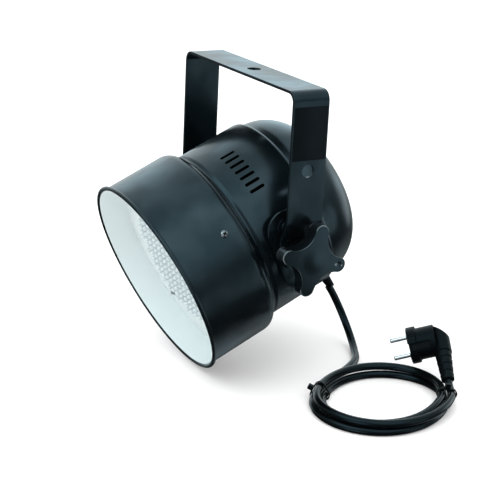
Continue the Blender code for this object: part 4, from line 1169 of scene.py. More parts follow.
@dataclass
class LightEngine:
    """White liner, diode board with its lenses, and the board's screws."""

    bore: float = 0.1035
    liner: float = 0.001
    board: float = 0.0295
    board_rows: Pair = (0.03, 0.07)  # rows of points on the board's face
    thickness: float = 0.0016
    pitch: float = 0.010
    norm: int = 39  # greatest squared distance of a diode from the middle, in pitches
    lens: float = 0.0025
    height: float = 0.0068
    tip: float = 0.0018
    rounding: float = 0.001
    foot: tuple[float, float, float, float] = (0.0004, 0.0002, 0.0008, 0.0011)  # spread, sunk, thick, slope
    circle: float = 0.085

    def lens_shape(self) -> Shape:
        """Make one diode: a flanged lens with a round end, above the board's face at z = 0.

        Returns:
            The shape.
        """
        spread, sunk, thick, slope = self.foot
        wall = self.height - self.rounding
        dome = arc((0.0, -wall), (self.lens, -(self.tip + self.rounding)), 0, 90, 6)
        foot = [(self.lens + spread, sunk), (self.lens + spread, -thick), (self.lens, -slope)]
        return Shape().lathe(foot + dome[:-1] + [(0.0, dome[-1][1])], 18)

    def diodes(self) -> bpy.types.Mesh:
        """Set out all the diodes of the hexagonal field as one mesh.

        Returns:
            The mesh.
        """
        field, one = Shape(), self.lens_shape()
        reach = int(math.sqrt(self.norm)) + 3
        for i in range(-reach, reach + 1):
            for j in range(-reach, reach + 1):
                if i * i + i * j + j * j <= self.norm:
                    spot = ((i + j / 2) * self.pitch, j * math.sqrt(0.75) * self.pitch, axial(self.board))
                    field.add(one.moved(shifted(*spot)))
        return field.mesh("diodes", 45.0)

    def build(self) -> None:
        """Add the liner, board, diodes and screws."""
        face, front = axial(self.board), axial(0.0)
        seat, back, rear = self.bore - GAP, face + self.thickness / 2, face + self.thickness
        wall = [(seat, front), (seat, back), (seat - self.liner, back), (seat - self.liner, front)]
        liner = Shape().lathe(wall, 160, closed=True).mesh("liner")
        put(liner, "white_liner_sheet", Look.LINER, ["white_liner"])
        disc = [(radius, face) for radius in (0.0, *self.board_rows, seat - GAP)]
        board = Shape().lathe(disc + [(seat - GAP, rear), (0.0, rear)], 96).mesh("board")
        put(board, "led_board_disc", Look.BOARD, ["led_board"])
        put(self.diodes(), "led_board_diodes", Look.LENS)
        screw = PanScrew().mesh("board_screw")
        for index in range(4):
            spot = shifted(*polar(self.circle, math.radians(45 + 90 * index)), face - GAP)
            put(screw, f"board_screw_{index + 1}_head", Look.ZINC, [f"board_screw_{index + 1}"],
                CAN @ spot @ turned(180.0, "X"))


# ---------------------------------------------------------------- pivots and knobs


@dataclass
class Side:
    """Side plate, its spacers and screws, the washers and the knob of one side; local Z points outwards."""

    name: str
    sign: int
    plate: Pair = (0.090, 0.042)
    plate_inner: float = 0.0955
    plate_outer: float = 0.0985
    plate_edge: float = 0.0006
    screw_offset: float = 0.028
    screw_hole: float = 0.0031
    spacer: Pair = (0.0032, 0.006)  # inner and outer radius
    spacer_ends: Pair = (0.003, 0.001)  # how far it reaches into the barrel's curve and into the plate
    arm_inner: float = 0.1020
    arm_outer: float = 0.1050
    washer_outer: float = 0.1068
    friction_washer: Pair = (0.017, 0.0008)  # radius, and rounding of the edges
    outer_washer: Pair = (0.011, 0.0004)

    @property
    def place(self) -> Matrix:
        """The side's frame."""
        return CAN @ frame((0, 0, 0), (0, 0, self.sign), (0, -1, 0))

    def ring(self, kind: str, look: Look, size: Pair, low: float, high: float) -> None:
        """Add a washer with rounded edges.

        Args:
            kind: Start of its CAD node's name.
            look: Its finish.
            size: Its radius and the radius of its edges.
            low: Height of its lower face.
            high: Height of its upper face.
        """
        name = f"{kind}_{self.name}"
        washer = Shape().tube(PIVOT_HOLE, size[0], low, high, 72, size[1]).mesh(name)
        put(washer, f"{name}_ring", look, [name], self.place)

    def build(self) -> None:
        """Add the side's pieces."""
        node, place = f"side_plate_{self.name}", self.place
        middles = [(0.0, end * self.screw_offset) for end in (1, -1)]
        holes = [ring_outline(PIVOT_HOLE)] + [ring_outline(self.screw_hole, middle, 24) for middle in middles]
        plate = plate_mesh("side_plate", [oblong_outline(*self.plate), *holes], self.plate_inner,
                           self.plate_outer, self.plate_edge, 3)
        put(plate, f"{node}_sheet", Look.COAT, [node], place)
        screw = PanScrew(head=0.0050, height=0.0016, shank=0.0028, length=0.010, flange=0.0090,
                         flange_height=0.0010, look=Look.COAT).mesh("plate_screw")
        sunk, over = self.spacer_ends
        spacer = Shape().tube(*self.spacer, BARREL_RADIUS - sunk, self.plate_inner + over, 40).mesh("spacer")
        for index, (x, y) in enumerate(middles, start=1):
            here, screw_node = place @ shifted(x, y), f"plate_screw_{self.name}_{index}"
            put(screw, f"{screw_node}_head", Look.COAT, [screw_node],
                here @ shifted(z=self.plate_outer + GAP) @ turned(31.0 * index))
            put(spacer, f"{node}_spacer_{index}", Look.ZINC, place=here)
        self.ring("friction_washer", Look.RUBBER, self.friction_washer, self.plate_outer + GAP,
                  self.arm_inner - GAP)
        self.ring("outer_washer", Look.ZINC, self.outer_washer, self.arm_outer + GAP, self.washer_outer)
        Knob(self.name, place).build()


@dataclass
class Knob:
    """Star knob: four round lobes with soft edges and a dimple, a raised middle and a hub behind."""

    name: str
    side: Matrix
    base: float = 0.1071
    reach: float = 0.0367
    tip: float = 0.0075
    waist: float = 0.0195
    hub: Pair = (0.0145, 0.0171)  # radius and length
    hub_foot: Pair = (0.0004, 0.006)  # taper of its foot, and the foot's height
    hub_flare: float = 0.0022
    hub_sunk: Pair = (0.0004, 0.003)  # how far its flare and its core reach into the lobes
    bore: Pair = (0.0068, 0.004)  # radius, and depth of its straight wall
    lobes: float = 0.0135
    crown: Pair = (0.016, 0.0008)  # radius and height of the raised middle
    doming: float = 0.0018
    edge: float = 0.0008
    turn: float = 51.4
    dimple: Pair = (0.0036, 0.0004)  # half width and depth

    def outline(self, steps: int = 12) -> list[Pair]:
        """Outline of the lobes joined by hollow flanks.

        Args:
            steps: Facets of each lobe and of each hollow.

        Returns:
            The points.
        """
        reach, half = self.reach - self.tip, math.sqrt(0.5)
        top = reach ** 2 - (self.tip - self.waist) ** 2
        hollow = top / (2 * (half * reach + self.tip - self.waist))
        spread = math.degrees(math.atan2(hollow * half, hollow * half - reach))
        points: list[Pair] = []
        for turn in (0.0, 90.0, 180.0, 270.0):
            lobe = polar(reach, math.radians(turn))
            points += arc(lobe, self.tip, turn - spread, turn + spread, steps)
            middle = polar(hollow, math.radians(turn + 45))
            points += arc(middle, hollow - self.waist, turn + spread + 180, turn + 270 - spread, steps)[1:-1]
        return points

    def rise(self, distance: float) -> float:
        """How far the front face stands above its edge.

        Args:
            distance: Distance from the axis.

        Returns:
            The height.
        """
        wide, high = self.crown
        middle = 0.5 + 0.5 * math.cos(math.pi * min(1.0, distance / wide))
        return self.doming * (1.0 - (distance / self.reach) ** 2) + high * middle

    def star(self, low: float, high: float) -> Shape:
        """The lobes: a star with rounded edges and a gently domed front.

        Args:
            low: Height of the rear face.
            high: Height of the front face's edge.

        Returns:
            The closed shape.
        """
        outline, rim, bend = self.outline(), self.edge / self.reach, 1.0 - math.sqrt(0.5)
        wall = 1.5 * self.edge
        round_off = [(0.0, 1.0), (bend, bend), (1.0, 0.0)]
        rear = [(0.5, 0.0), (1.0 - 1.5 * rim, 0.0)] + [(1.0 - rim * x, self.edge * y) for y, x in round_off]
        front = [(1.0, wall)] + [(1.0 - rim * x, self.edge * y) for x, y in round_off]
        front += [(share, 0.0) for share in (1.0 - 1.5 * rim, *np.linspace(1.0 - rim, 0.0, 20)[1:-1])]
        rows: list[list[Point]] = [[(0.0, 0.0, low)]]
        rows += [[(x * share, y * share, low + up) for x, y in outline] for share, up in (*rear, (1.0, wall))]
        rows += [[(x * share, y * share, high - down + self.rise(share * math.hypot(x, y)))
                  for x, y in outline] for share, down in front]
        return Shape().rows(rows + [[(0.0, 0.0, high + self.rise(0.0))]], wrap=True)

    def bowl(self, high: float) -> Shape:
        """The part of a ball that hollows out the dimple of one lobe.

        Args:
            high: Height of the front face's edge.

        Returns:
            The closed shape.
        """
        (half, deep), lobe = self.dimple, self.reach - self.tip
        radius = (half ** 2 + deep ** 2) / (2 * deep)
        spread = math.degrees(math.asin(half / radius))
        middle = (0.0, high + self.rise(lobe) + radius - deep)
        ball = arc(middle, radius, -90.0, -90.0 + spread * 1.25, 8)
        return Shape().lathe(ball + [(0.0, ball[-1][1])], 40).moved(shifted(y=-lobe))

    def build(self) -> None:
        """Add the lobes and the hub."""
        place, body = self.side @ turned(self.turn), f"knob_{self.name}"
        radius, length = self.hub
        low = self.base + length
        high = low + self.lobes
        star = carve(self.star(low, high).mesh("star"), self.bowl(high).mesh("bowl"))
        even(put(star, f"{body}_star", Look.KNOB, [body], place, body))
        (taper, foot), (flare_sunk, core_sunk), (bore, wall) = self.hub_foot, self.hub_sunk, self.bore
        skin = fillet([(radius - taper, self.base), (radius, self.base + foot, 0.01),
                       (radius, low - self.hub_flare, 0.002), (radius + self.hub_flare, low + flare_sunk)], 6)
        profile = [(bore, self.base + wall), (bore, self.base), *skin, (radius, low + core_sunk)]
        hub = Shape().lathe(profile, 96, closed=True).mesh("hub")
        put(hub, f"{body}_hub", Look.PLUG, place=place, body=body)


# ---------------------------------------------------------------- yoke


@dataclass
class Yoke:
    """Bent strap with joggled arms and round ends, and the bare label on its near arm."""

    half_span: float = 0.1150
    width: float = 0.040
    thickness: float = 0.003
    edge: float = 0.0005
    bend: float = 0.0095
    joggle: Triple = (0.032, 0.012, 0.010)  # its ends above the pivot, and its depth
    joggle_bend: float = 0.008
    hang_hole: float = 0.007
    safety_hole: float = 0.0065
    safety_drop: float = 0.0785
    borders: Pair = (0.003, 0.002)  # of the grid's squares round the large holes and the pivot holes
    apart: float = 0.002  # least distance of an even row from the rows of a bend
    label: tuple[float, float, float, float] = (0.0375, 0.053, 0.0148, 0.00012)  # width, height, drop, depth
    label_corner: float = 0.0015
    label_gap: float = 0.00003

    def corners(self) -> list[Triple]:
        """Corners of the strap's middle line.

        Returns:
            Their (x, z, bend radius).
        """
        half = self.thickness / 2
        top, (high, low, depth) = self.half_span - half, self.joggle
        arm = [(top, -half, self.bend), (top, high - PIVOT_DROP, self.joggle_bend),
               (top - depth, low - PIVOT_DROP, self.joggle_bend),
               (top - depth, -PIVOT_DROP - self.width / 2, 0.0)]
        return [(-x, z, r) for x, z, r in arm[::-1]] + arm

    def strap_shape(self) -> Shape:
        """Bend the strap's middle face, with its round ends and its holes.

        Returns:
            The face.
        """
        path = np.array(fillet(self.corners(), 12))
        lengths = np.concatenate([[0.0], np.cumsum(np.linalg.norm(np.diff(path, axis=0), axis=1))])
        lengths -= lengths[-1] / 2
        end, side = lengths[-1], self.width / 2

        def place(u: float, v: float) -> Point:
            """Place of a point of the flat strap, u along it and v across it."""
            return float(np.interp(u, lengths, path[:, 0])), v, float(np.interp(u, lengths, path[:, 1]))

        def warp(u: float, v: float) -> Pair:
            """Round off the ends of the flat strap.

            Args:
                u: Distance along the strap.
                v: Distance across it.

            Returns:
                The changed distances.
            """
            x, y = max(0.0, (abs(u) - end + side) / side), v / side
            if x <= 0.0:
                return u, v
            round_x, round_y = x * math.sqrt(1 - y * y / 2), y * math.sqrt(1 - x * x / 2)
            return math.copysign(end - side + round_x * side, u), round_y * side

        arm = slice(len(path) // 2, None)
        pivot, safety = (float(np.interp(drop, -path[arm, 1], lengths[arm]))
                         for drop in (-path[-1][1] - self.width / 2, self.safety_drop))
        wide, narrow = self.borders
        holes = [Hole(0.0, 0.0, self.hang_hole, wide, 0.0, (12, 12)),
                 Hole(safety, 0.0, self.safety_hole, wide, 0.0, (12, 12)),
                 *(Hole(u, 0.0, PIVOT_HOLE, narrow, 0.0, (8, 8)) for u in (pivot, -pivot))]
        base = [u for u in np.linspace(-end, end, 61) if np.min(np.abs(lengths - u)) > self.apart]
        base += [*lengths, *(sign * u for sign in (-1, 1) for u in np.linspace(end - side, end, 15))]
        return Panel(base, np.linspace(-side, side, 15), holes).shape(place, warp=warp)

    def build(self) -> None:
        """Add the strap and the label."""
        mesh = self.strap_shape().mesh("yoke", 180.0, closed=False)
        strap = put(mesh, "yoke_strap", Look.COAT, ["yoke"], Matrix(), "yoke")
        thicken(strap, self.thickness, 0.0, self.edge)
        wide, tall, drop, thick = self.label
        outline = corner_outline(wide, tall, self.label_corner)
        sticker = plate_mesh("label", [outline], 0.0, thick, thick * 0.4, 1)
        here = frame((self.half_span + self.label_gap, 0.0, -drop - tall / 2), (0, 1, 0), (0, 0, 1))
        put(sticker, "yoke_label", Look.LABEL, place=here, body="yoke")


# ---------------------------------------------------------------- back: gland and data sockets


@dataclass
class Gland:
    """Cable gland under the dome: flanged body, fluted nut and tapered sleeve."""

    shells: Shells
    axial_place: float = 0.1735
    neck: Pair = (0.0078, 0.008)  # radius and depth
    flange: Pair = (0.0095, 0.0045)  # radius and height
    flange_flats: float = 1.09  # 1 gives a sharp hexagon
    nut: Pair = (0.009, 0.010)  # radius and height
    nut_flutes: tuple[int, float, float] = (12, 0.05, 0.62)  # number, depth and share of the height
    nut_mouth: float = 0.0009
    sleeve: Triple = (0.0056, 0.0044, 0.020)  # first radius, last radius and length
    sleeve_sunk: float = 0.003
    grooves: Triple = (0.12, 0.27, 0.42)  # shares of the sleeve's length
    groove_size: Pair = (0.0009, 0.0005)  # half width and depth

    @property
    def place(self) -> Matrix:
        """The gland's frame on the dome.

        Returns:
            The placement; its Z axis points out of the dome.
        """
        rise = math.asin((self.axial_place - self.shells.dome_start) / self.shells.knuckle)
        radius = self.shells.dome - self.shells.knuckle * (1 - math.cos(rise))
        out = (0.0, math.cos(rise), math.sin(rise))
        return CAN @ along(out, (0.0, radius, axial(self.axial_place)), (1, 0, 0))

    @property
    def nut_low(self) -> float:
        """Height of the nut's foot."""
        return 2 * GAP + self.flange[1]

    def hexagon(self, height: float, turn: float) -> float:
        """Factor that turns the flange's round outline into a soft hexagon."""
        flat = math.cos(math.pi / 6) / math.cos((turn % (math.pi / 3)) - math.pi / 6)
        return min(1.0, flat * self.flange_flats) if height > GAP / 2 else 1.0

    def fluted(self, height: float, turn: float) -> float:
        """Cut the nut's flutes, up to where its taper begins.

        Args:
            height: Height on the nut.
            turn: Turn in radians.

        Returns:
            The factor of the radius there.
        """
        count, depth, share = self.nut_flutes
        cut = depth * max(0.0, math.cos(count * turn)) ** 3
        return 1.0 - (cut if height < self.nut_low + self.nut[1] * share else 0.0)

    def build(self) -> None:
        """Add the gland's visible pieces."""
        (neck, deep), (radius, high) = self.neck, self.flange
        profile = fillet([(neck, -deep), (neck, GAP), (radius, GAP, 0.0003), (radius, GAP + high, 0.0008),
                          (0.0, GAP + high)], 4)
        body = Shape().lathe([(0.0, -deep), *profile], 72, wave=self.hexagon).mesh("gland_body")
        (radius, tall), low = self.nut, self.nut_low
        mouth = self.sleeve[0] + self.nut_mouth
        profile = fillet([(radius, low), (radius, low + tall * 0.6, 0.004), (mouth, low + tall, 0.0006),
                          (0.0, low + tall - 0.0004)], 6)
        nut = Shape().lathe([(0.0, low), *profile], 96, wave=self.fluted).mesh("gland_nut")
        low += tall + GAP
        wide, narrow, length = self.sleeve
        foot = low - self.sleeve_sunk
        rings: list[Pair] = [(0.0, foot), (wide, foot), (wide, low)]
        for share in self.grooves:
            rings += groove(wide + (narrow - wide) * share, low + length * share, *self.groove_size)
        rings += fillet([(narrow + 0.0004, low + length * 0.6), (narrow - 0.0002, low + length, 0.0001),
                         (0.0, low + length)], 4)
        sleeve = Shape().lathe(rings, 48).mesh("sleeve")
        for mesh, name, look, node in ((body, "gland_body_hex", Look.PLUG, "gland_body"),
                                       (nut, "gland_nut_fluted", Look.PLUG, "gland_nut"),
                                       (sleeve, "strain_sleeve_taper", Look.RUBBER, "strain_sleeve")):
            put(mesh, name, look, [node], self.place)


@dataclass
class Sockets:
    """Data inlet with pins and data outlet with holes, side by side on the flat back."""

    back: float
    spacing: float = 0.034
    flange: Triple = (0.026, 0.031, 0.0025)  # width, height and thickness
    flange_corner: float = 0.0035
    flange_edge: float = 0.0005
    opening: float = 0.0100
    body: Pair = (0.011, 0.018)  # radius and depth
    well: Pair = (0.0093, 0.012)  # radius and depth
    rim: Triple = (0.0102, 0.0008, 0.0004)  # radius, height and rounding
    face_depth: float = 0.0012
    screws: Pair = (0.36, 0.38)  # places as shares of the flange
    pins: Triple = (0.0012, 0.0045, 0.0055)  # radius, distance from the middle and depth of the tips
    contact_hole: Pair = (0.0014, 0.009)  # radius and depth
    latch: Triple = (0.0062, 0.0042, 0.0118)  # width, height and distance from the middle

    @property
    def centres(self) -> list[Pair]:
        """Centres of the two sockets on the flat back."""
        return [(-self.spacing / 2, 0.0), (self.spacing / 2, 0.0)]

    def build(self) -> None:
        """Add both sockets."""
        wide, tall, thick = self.flange
        low = self.back + GAP
        face = low + thick
        screws = [(side * wide * self.screws[0], -side * tall * self.screws[1]) for side in (-1, 1)]
        for name, (x, y), inlet in zip(("data_inlet", "data_outlet"), self.centres, (True, False)):
            here = CAN @ shifted(x, y)
            outline = [corner_outline(wide, tall, self.flange_corner), ring_outline(self.opening, steps=64)]
            flange = plate_mesh("flange", outline, low, face, self.flange_edge, 3)
            put(flange, f"{name}_flange", Look.PLUG, [name], here)
            floor = face - (self.well[1] if inlet else self.face_depth)
            put(self.cup(low, face, floor, inlet), f"{name}_cup", Look.DARK, place=here)
            self.contacts(name, here, face, floor, inlet)
            head = PanScrew(head=0.0021, height=0.0010, shank=0.0010, length=0.002, slot=0.0005).mesh(
                "socket_screw")
            for index, (a, b) in enumerate(screws, start=1):
                put(head, f"{name}_screw_{index}", Look.ZINC, place=here @ shifted(a, b, face))

    def cup(self, low: float, face: float, floor: float, inlet: bool) -> bpy.types.Mesh:
        """Make the round body, open for the inlet and with three contact holes for the outlet.

        Args:
            low: Height of the flange's foot.
            face: Height of the flange's face.
            floor: Height of the floor inside the rim.
            inlet: True for the inlet.

        Returns:
            The mesh.
        """
        radius, deep = self.body[0] - 0.0002, face - self.body[1]
        (outer, proud, edge), inner, foot = self.rim, self.well[0], low - 0.0002
        profile = fillet([(0.0, deep), (radius, deep, 0.001), (radius, foot), (outer, foot),
                          (outer, face + proud, edge), (inner, face + proud, edge),
                          (inner - 0.0001, floor, edge), (0.0, floor)], 4)
        cup = Shape().lathe(profile, 72).mesh("cup")
        if inlet:
            return cup
        radius, deep = self.contact_hole
        drill = Shape().tube(0.0, radius, floor - deep, floor + 0.002, 24)
        return carve(cup, *(drill.moved(shifted(*spot)).mesh("drill") for spot in self.spots()))

    def spots(self) -> list[Pair]:
        """Places of the three contacts."""
        return [polar(self.pins[1], math.radians(angle)) for angle in (90.0, 210.0, 330.0)]

    def contacts(self, name: str, here: Matrix, face: float, floor: float, inlet: bool) -> None:
        """Add the inlet's three pins, or the outlet's latch.

        Args:
            name: Name of the socket's node.
            here: The socket's frame.
            face: Height of the flange's face.
            floor: Height of the floor inside the rim.
            inlet: True for the inlet.
        """
        if inlet:
            (radius, _, depth), foot = self.pins, floor - 0.001
            tip = fillet([(radius, foot), (radius, face - depth, 0.0009), (0.0, face - depth)], 6)
            pin, group = Shape().lathe([(0.0, foot), *tip], 24), Shape()
            for spot in self.spots():
                group.add(pin.moved(shifted(*spot)))
            put(group.mesh("pins"), f"{name}_pins", Look.NICKEL, place=here)
            return
        wide, tall, above = self.latch
        outline = corner_outline(wide, tall, 0.0008)
        tab = plate_mesh("latch", [outline], face - 0.001, face + 0.0016, 0.0004, 3)
        put(tab, f"{name}_latch", Look.NICKEL, place=here @ shifted(y=above))


# ---------------------------------------------------------------- mains lead and plug


@dataclass
class MainsLead:
    """The lead from its sleeve through the coil to the plug, as one curve."""

    radius: float = 0.0041
    fall_ease: Pair = (0.012, 0.066)  # reach of the direction at both ends of the fall
    touch: Pair = (0.057, 0.112)  # where the lead comes down
    touch_heading: float = -29.5
    run_ease: Pair = (0.0215, 0.032)
    centre: Pair = (0.1671, 0.0724)
    outer: float = 0.0738
    spiral: float = 0.0104
    oval: Pair = (0.102, 59.2)  # strength, and heading in degrees
    layer: float = 0.0088
    total: float = 924.0
    lead_in: float = 150.0
    right: Pair = (0.4844, 0.8748)  # direction from which the coil's turns count
    steps: int = 24
    plug: Point = (0.1765, 0.1472, SURFACE + 0.017)
    plug_ease: Pair = (0.010, 0.015)
    plug_turns: Triple = (157.0, 31.5, 22.0)  # heading, rise and roll
    buried: float = 0.004

    def coil_point(self, turned_by: float) -> Vector:
        """Centre of the coiled lead after so many degrees from its start.

        Args:
            turned_by: The degrees.

        Returns:
            The point: on the lower layer up to the crossing of half a turn, and then on the upper one.
        """
        right = Vector((*self.right, 0.0)).normalized()
        layer = (self.total - 180.0) / 2
        lifted = min(1.0, max(0.0, (turned_by - layer) / 180.0))
        inward = min(turned_by, layer) - max(0.0, turned_by - layer - 180.0)
        angle = math.radians(self.lead_in + turned_by)
        oval = 1.0 + self.oval[0] * math.cos(2 * (angle - math.radians(self.oval[1])))
        spot = right * math.cos(angle) + Vector((-right.y, right.x, 0.0)) * math.sin(angle)
        height = SURFACE + self.radius + self.layer * lifted
        return Vector((*self.centre, height)) + spot * (self.outer - self.spiral * inward / 360.0) * oval

    def coil_way(self, turned_by: float) -> Vector:
        """Direction of travel along the coil."""
        return (self.coil_point(turned_by + 0.5) - self.coil_point(turned_by - 0.5)).normalized()

    def plug_axes(self) -> tuple[Vector, Vector, Vector]:
        """Work out how the plug lies.

        Returns:
            Its cable, side and pin directions.
        """
        heading, rise, roll = (math.radians(angle) for angle in self.plug_turns)
        cable = -Vector((*polar(math.cos(rise), heading), math.sin(rise)))
        pins = Matrix.Rotation(roll, 3, cable) @ cable.cross((0, 0, 1)).normalized()
        return cable, pins.cross(cable), pins

    @staticmethod
    def bend(start: Vector, way: Vector, end: Vector, end_way: Vector, ease: Pair,
             steps: int) -> list[Vector]:
        """Points of a smooth bend between two places with their directions of travel.

        Args:
            start: Where the bend starts.
            way: Direction of travel there.
            end: Where it ends.
            end_way: Direction of travel there.
            ease: Reach of the direction at both ends.
            steps: Number of stretches.

        Returns:
            The points.
        """
        after, before = start + way * ease[0], end - end_way * ease[1]
        return geometry.interpolate_bezier(start, after, before, end, steps + 1)

    def route(self, exit_point: Vector, exit_way: Vector) -> list[Vector]:
        """Points of the whole lead.

        Args:
            exit_point: Where the lead leaves its sleeve.
            exit_way: Direction in which it leaves.

        Returns:
            The points, from inside the sleeve to inside the boot.
        """
        count = round(self.total / 360.0 * self.steps)
        coil = [self.coil_point(self.total * step / count) for step in range(count)]
        before, after = self.coil_way(0.5), self.coil_way(self.total - 0.5)
        touch = Vector((*self.touch, SURFACE + self.radius))
        level = Vector((*polar(1.0, math.radians(self.touch_heading)), 0.0))
        end, inward = Vector(self.plug), -self.plug_axes()[0]
        return [exit_point - exit_way * self.buried,
                *self.bend(exit_point, exit_way, touch, level, self.fall_ease, 12),
                *self.bend(touch, level, coil[0] - before * 2 * GAP, before, self.run_ease, 7)[1:-1],
                *coil,
                *self.bend(self.coil_point(self.total), after, end, inward, self.plug_ease, 5),
                end + inward * self.buried]

    def curve(self, points: Sequence[Vector]) -> bpy.types.Curve:
        """Make the smooth round curve through the points.

        Args:
            points: The points.

        Returns:
            The curve.
        """
        data = bpy.data.curves.new("mains_lead", "CURVE")
        data.dimensions, data.use_fill_caps = "3D", True
        data.bevel_depth, data.bevel_resolution, data.resolution_u = self.radius, 8, 8
        spline = data.splines.new("BEZIER")
        spline.bezier_points.add(len(points) - 1)
        for index, (knot, place) in enumerate(zip(spline.bezier_points, points)):
            before, after = points[max(0, index - 1)], points[min(len(points) - 1, index + 1)]
            way = (after - before).normalized()
            knot.co = place
            knot.handle_left_type = knot.handle_right_type = "FREE"
            knot.handle_left = place - way * (place - before).length / 3
            knot.handle_right = place + way * (after - place).length / 3
        return data

    def build(self) -> None:
        """Add the lead and its plug, and log the lead's length."""
        point, way = sleeve_end()
        points = self.route(point, way)
        lead = put(self.curve(points), "mains_lead", Look.SHEATH, ["cord", "coil"], Matrix())
        length = sum((b - a).length for a, b in zip(points, points[1:])) - 2 * self.buried
        plug = AngledPlug(self.plug_axes(), Vector(self.plug))
        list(plug.build())
        LOG.info("lead %.3f m", length)


def sleeve_end() -> tuple[Vector, Vector]:
    """Point and direction where the lead leaves its sleeve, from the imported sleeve's own mesh.

    Returns:
        The centre of the sleeve's end and its direction.
    """
    points = np.array([v.co for v in bpy.data.objects["strain_sleeve"].data.vertices])
    axis = np.linalg.svd(points - points.mean(0))[2][0]
    axis = axis if axis[2] < 0 else -axis
    reach = points @ axis
    return Vector(points[reach > reach.max() - SNAP].mean(0)), Vector(axis)


@dataclass
class AngledPlug:
    """Angled earthed plug: disc, waist and column, ribbed boot, two round pins and two earth strips."""

    axes: tuple[Vector, Vector, Vector]
    cord_end: Vector
    radius: float = 0.0195
    rim: float = 0.009
    waist: float = 0.0170
    depth: float = 0.029
    edges: Pair = (0.0008, 0.0006)  # rounding of the face's edge and of the others
    recess: Triple = (0.86, 0.88, 0.0006)  # shares of the radius at its floor and its edge, and its depth
    column: Pair = (0.0095, 0.0168)  # radius, and length beyond the disc's axis
    column_depth: float = 0.0335
    column_edge: float = 0.0022
    slope: Pair = (42.0, 0.024)  # angle in degrees and depth of the sloping back
    boot: tuple[float, float, float, float] = (0.019, 0.034, 0.0088, 0.0066)  # start, length, both radii
    boot_groove: Pair = (0.0016, 0.0010)  # half width and depth
    pin: Triple = (0.0024, 0.019, 0.019)  # radius, length and spacing
    pin_foot: float = 0.004
    notch: Triple = (0.0044, 0.0104, 0.023)  # depth, width and length
    strip: Triple = (0.0010, 0.0060, 0.019)  # thickness, width and length
    strip_bow: float = 0.0007
    softening: Pair = (0.0004, 0.0005)  # of the disc and of the column

    @property
    def place(self) -> Matrix:
        """The plug's frame.

        Returns:
            The placement; its X axis runs along the cable and its Z axis along the pins.
        """
        cable, side, pins = self.axes
        origin = self.cord_end + pins * self.column_depth - cable * (self.boot[0] + self.boot[1] + 2 * GAP)
        return frame(origin, cable, side)

    @property
    def lying(self) -> Matrix:
        """Where the column and the boot lie in the plug's frame; their Z axis runs along the cable."""
        return shifted(z=-self.column_depth) @ frame((0, 0, 0), (0, 1, 0), (0, 0, 1))

    def body(self) -> list[bpy.types.Mesh]:
        """Mould the body: disc with waist, and column, both cut by the sloping back.

        Returns:
            The disc and the column.
        """
        edge, fine = self.edges
        inner, outer, deep = self.recess
        face = fillet([(0.0, -deep), (self.radius * inner, -deep, 0.0002), (self.radius * outer, 0.0)], 2)
        side = fillet([(0.0, 0.0), (self.radius, 0.0, edge), (self.radius, -self.rim, fine),
                       (self.waist, -self.rim - edge, fine), (self.waist, -self.depth, fine),
                       (0.0, -self.depth)], 4)
        disc = Shape().lathe(face + side[1:], 96)
        (radius, top), start = self.column, self.boot[0]
        shaft = fillet([(0.0, -top), (radius, -top, self.column_edge), (radius, start, fine),
                        (0.0, start)], 6)
        column = Shape().lathe(shaft, 64).moved(self.lying)
        (angle, back), reach = self.slope, self.radius * 2
        wedge = Shape().block((0.0, -reach, -2 * reach), (reach, reach, 2 * reach)).moved(
            shifted(-top, 0.0, -back) @ turned(180.0 - angle, "Y"))
        low, wide, length = self.notch
        notch = Shape().block((self.radius - low, -wide / 2, -length), (self.radius + low, wide / 2, length))
        notches = [notch.moved(self.notch_frame(share)).mesh("notch") for share in (1, -1)]
        cut = carve(disc.mesh("plug_disc"), wedge.mesh("wedge"), *notches)
        return [cut, carve(column.mesh("plug_column"), wedge.mesh("wedge"))]

    def notch_frame(self, share: int) -> Matrix:
        """The frame of one earth notch, on the diagonal of the face."""
        return frame((0, 0, 0), (share, share, 0), (-share, share, 0))

    def boot_mesh(self) -> bpy.types.Mesh:
        """Make the tapered boot with rounded grooves.

        Returns:
            The mesh.
        """
        start, length, wide, narrow = self.boot
        points: list[tuple[float, ...]] = [(0.0, start + GAP), (wide, start + GAP, 0.0005)]
        for share in (0.25, 0.5, 0.75):
            points += groove(wide + (narrow - wide) * share, start + length * share, *self.boot_groove,
                             (0.0005,), (0.0004,))
        points += [(narrow, start + length, 0.0008), (0.0, start + length)]
        return Shape().lathe(fillet(points, 4), 64).mesh("plug_boot")

    def build(self) -> list[str]:
        """Add the plug's pieces.

        Returns:
            Their names.
        """
        disc, column = self.body()
        place = self.place
        pieces = [soften(put(disc, "plug_body_disc", Look.PLUG, ["plug_body"], place), self.softening[0]),
                  soften(put(column, "plug_body_column", Look.PLUG, place=place), self.softening[1]),
                  put(self.boot_mesh(), "plug_boot_ribbed", Look.RUBBER, ["plug_boot"], place @ self.lying)]
        radius, length, spacing = self.pin
        profile = fillet([(0.0, -self.pin_foot), (radius, -self.pin_foot), (radius, length - 0.0006, 0.0011),
                          (0.0, length)], 8)
        pin = Shape().lathe(profile, 40).mesh("plug_pin")
        thick, wide, reach = self.strip
        low = GAP - self.notch[2]
        sheet = Shape().rows([[(self.strip_bow * math.sin(math.pi * share), y, low + reach * share)
                               for y in (-wide / 2, 0.0, wide / 2)] for share in np.linspace(0.0, 1.0, 11)])
        strip = sheet.mesh("earth_strip", closed=False)
        for index, share in enumerate((1, -1), start=1):
            spread = share * spacing / 2 * math.sqrt(0.5)
            pieces.append(put(pin, f"plug_pin_{index}_turned", Look.NICKEL, [f"plug_pin_{index}"],
                              place @ shifted(spread, -spread)))
            seat = place @ self.notch_frame(share) @ shifted(self.radius - self.notch[0] + GAP + thick / 2)
            # the strip takes near-black painted shade, as if shaded in its notch
            clip = put(strip, f"earth_clip_{index}_strip", Look.STRIP, [f"earth_clip_{index}"], seat)
            pieces.append(thicken(clip, thick * 0.8, 0.0, 0.00015))
        return [piece.name for piece in pieces]


# ---------------------------------------------------------------- stage


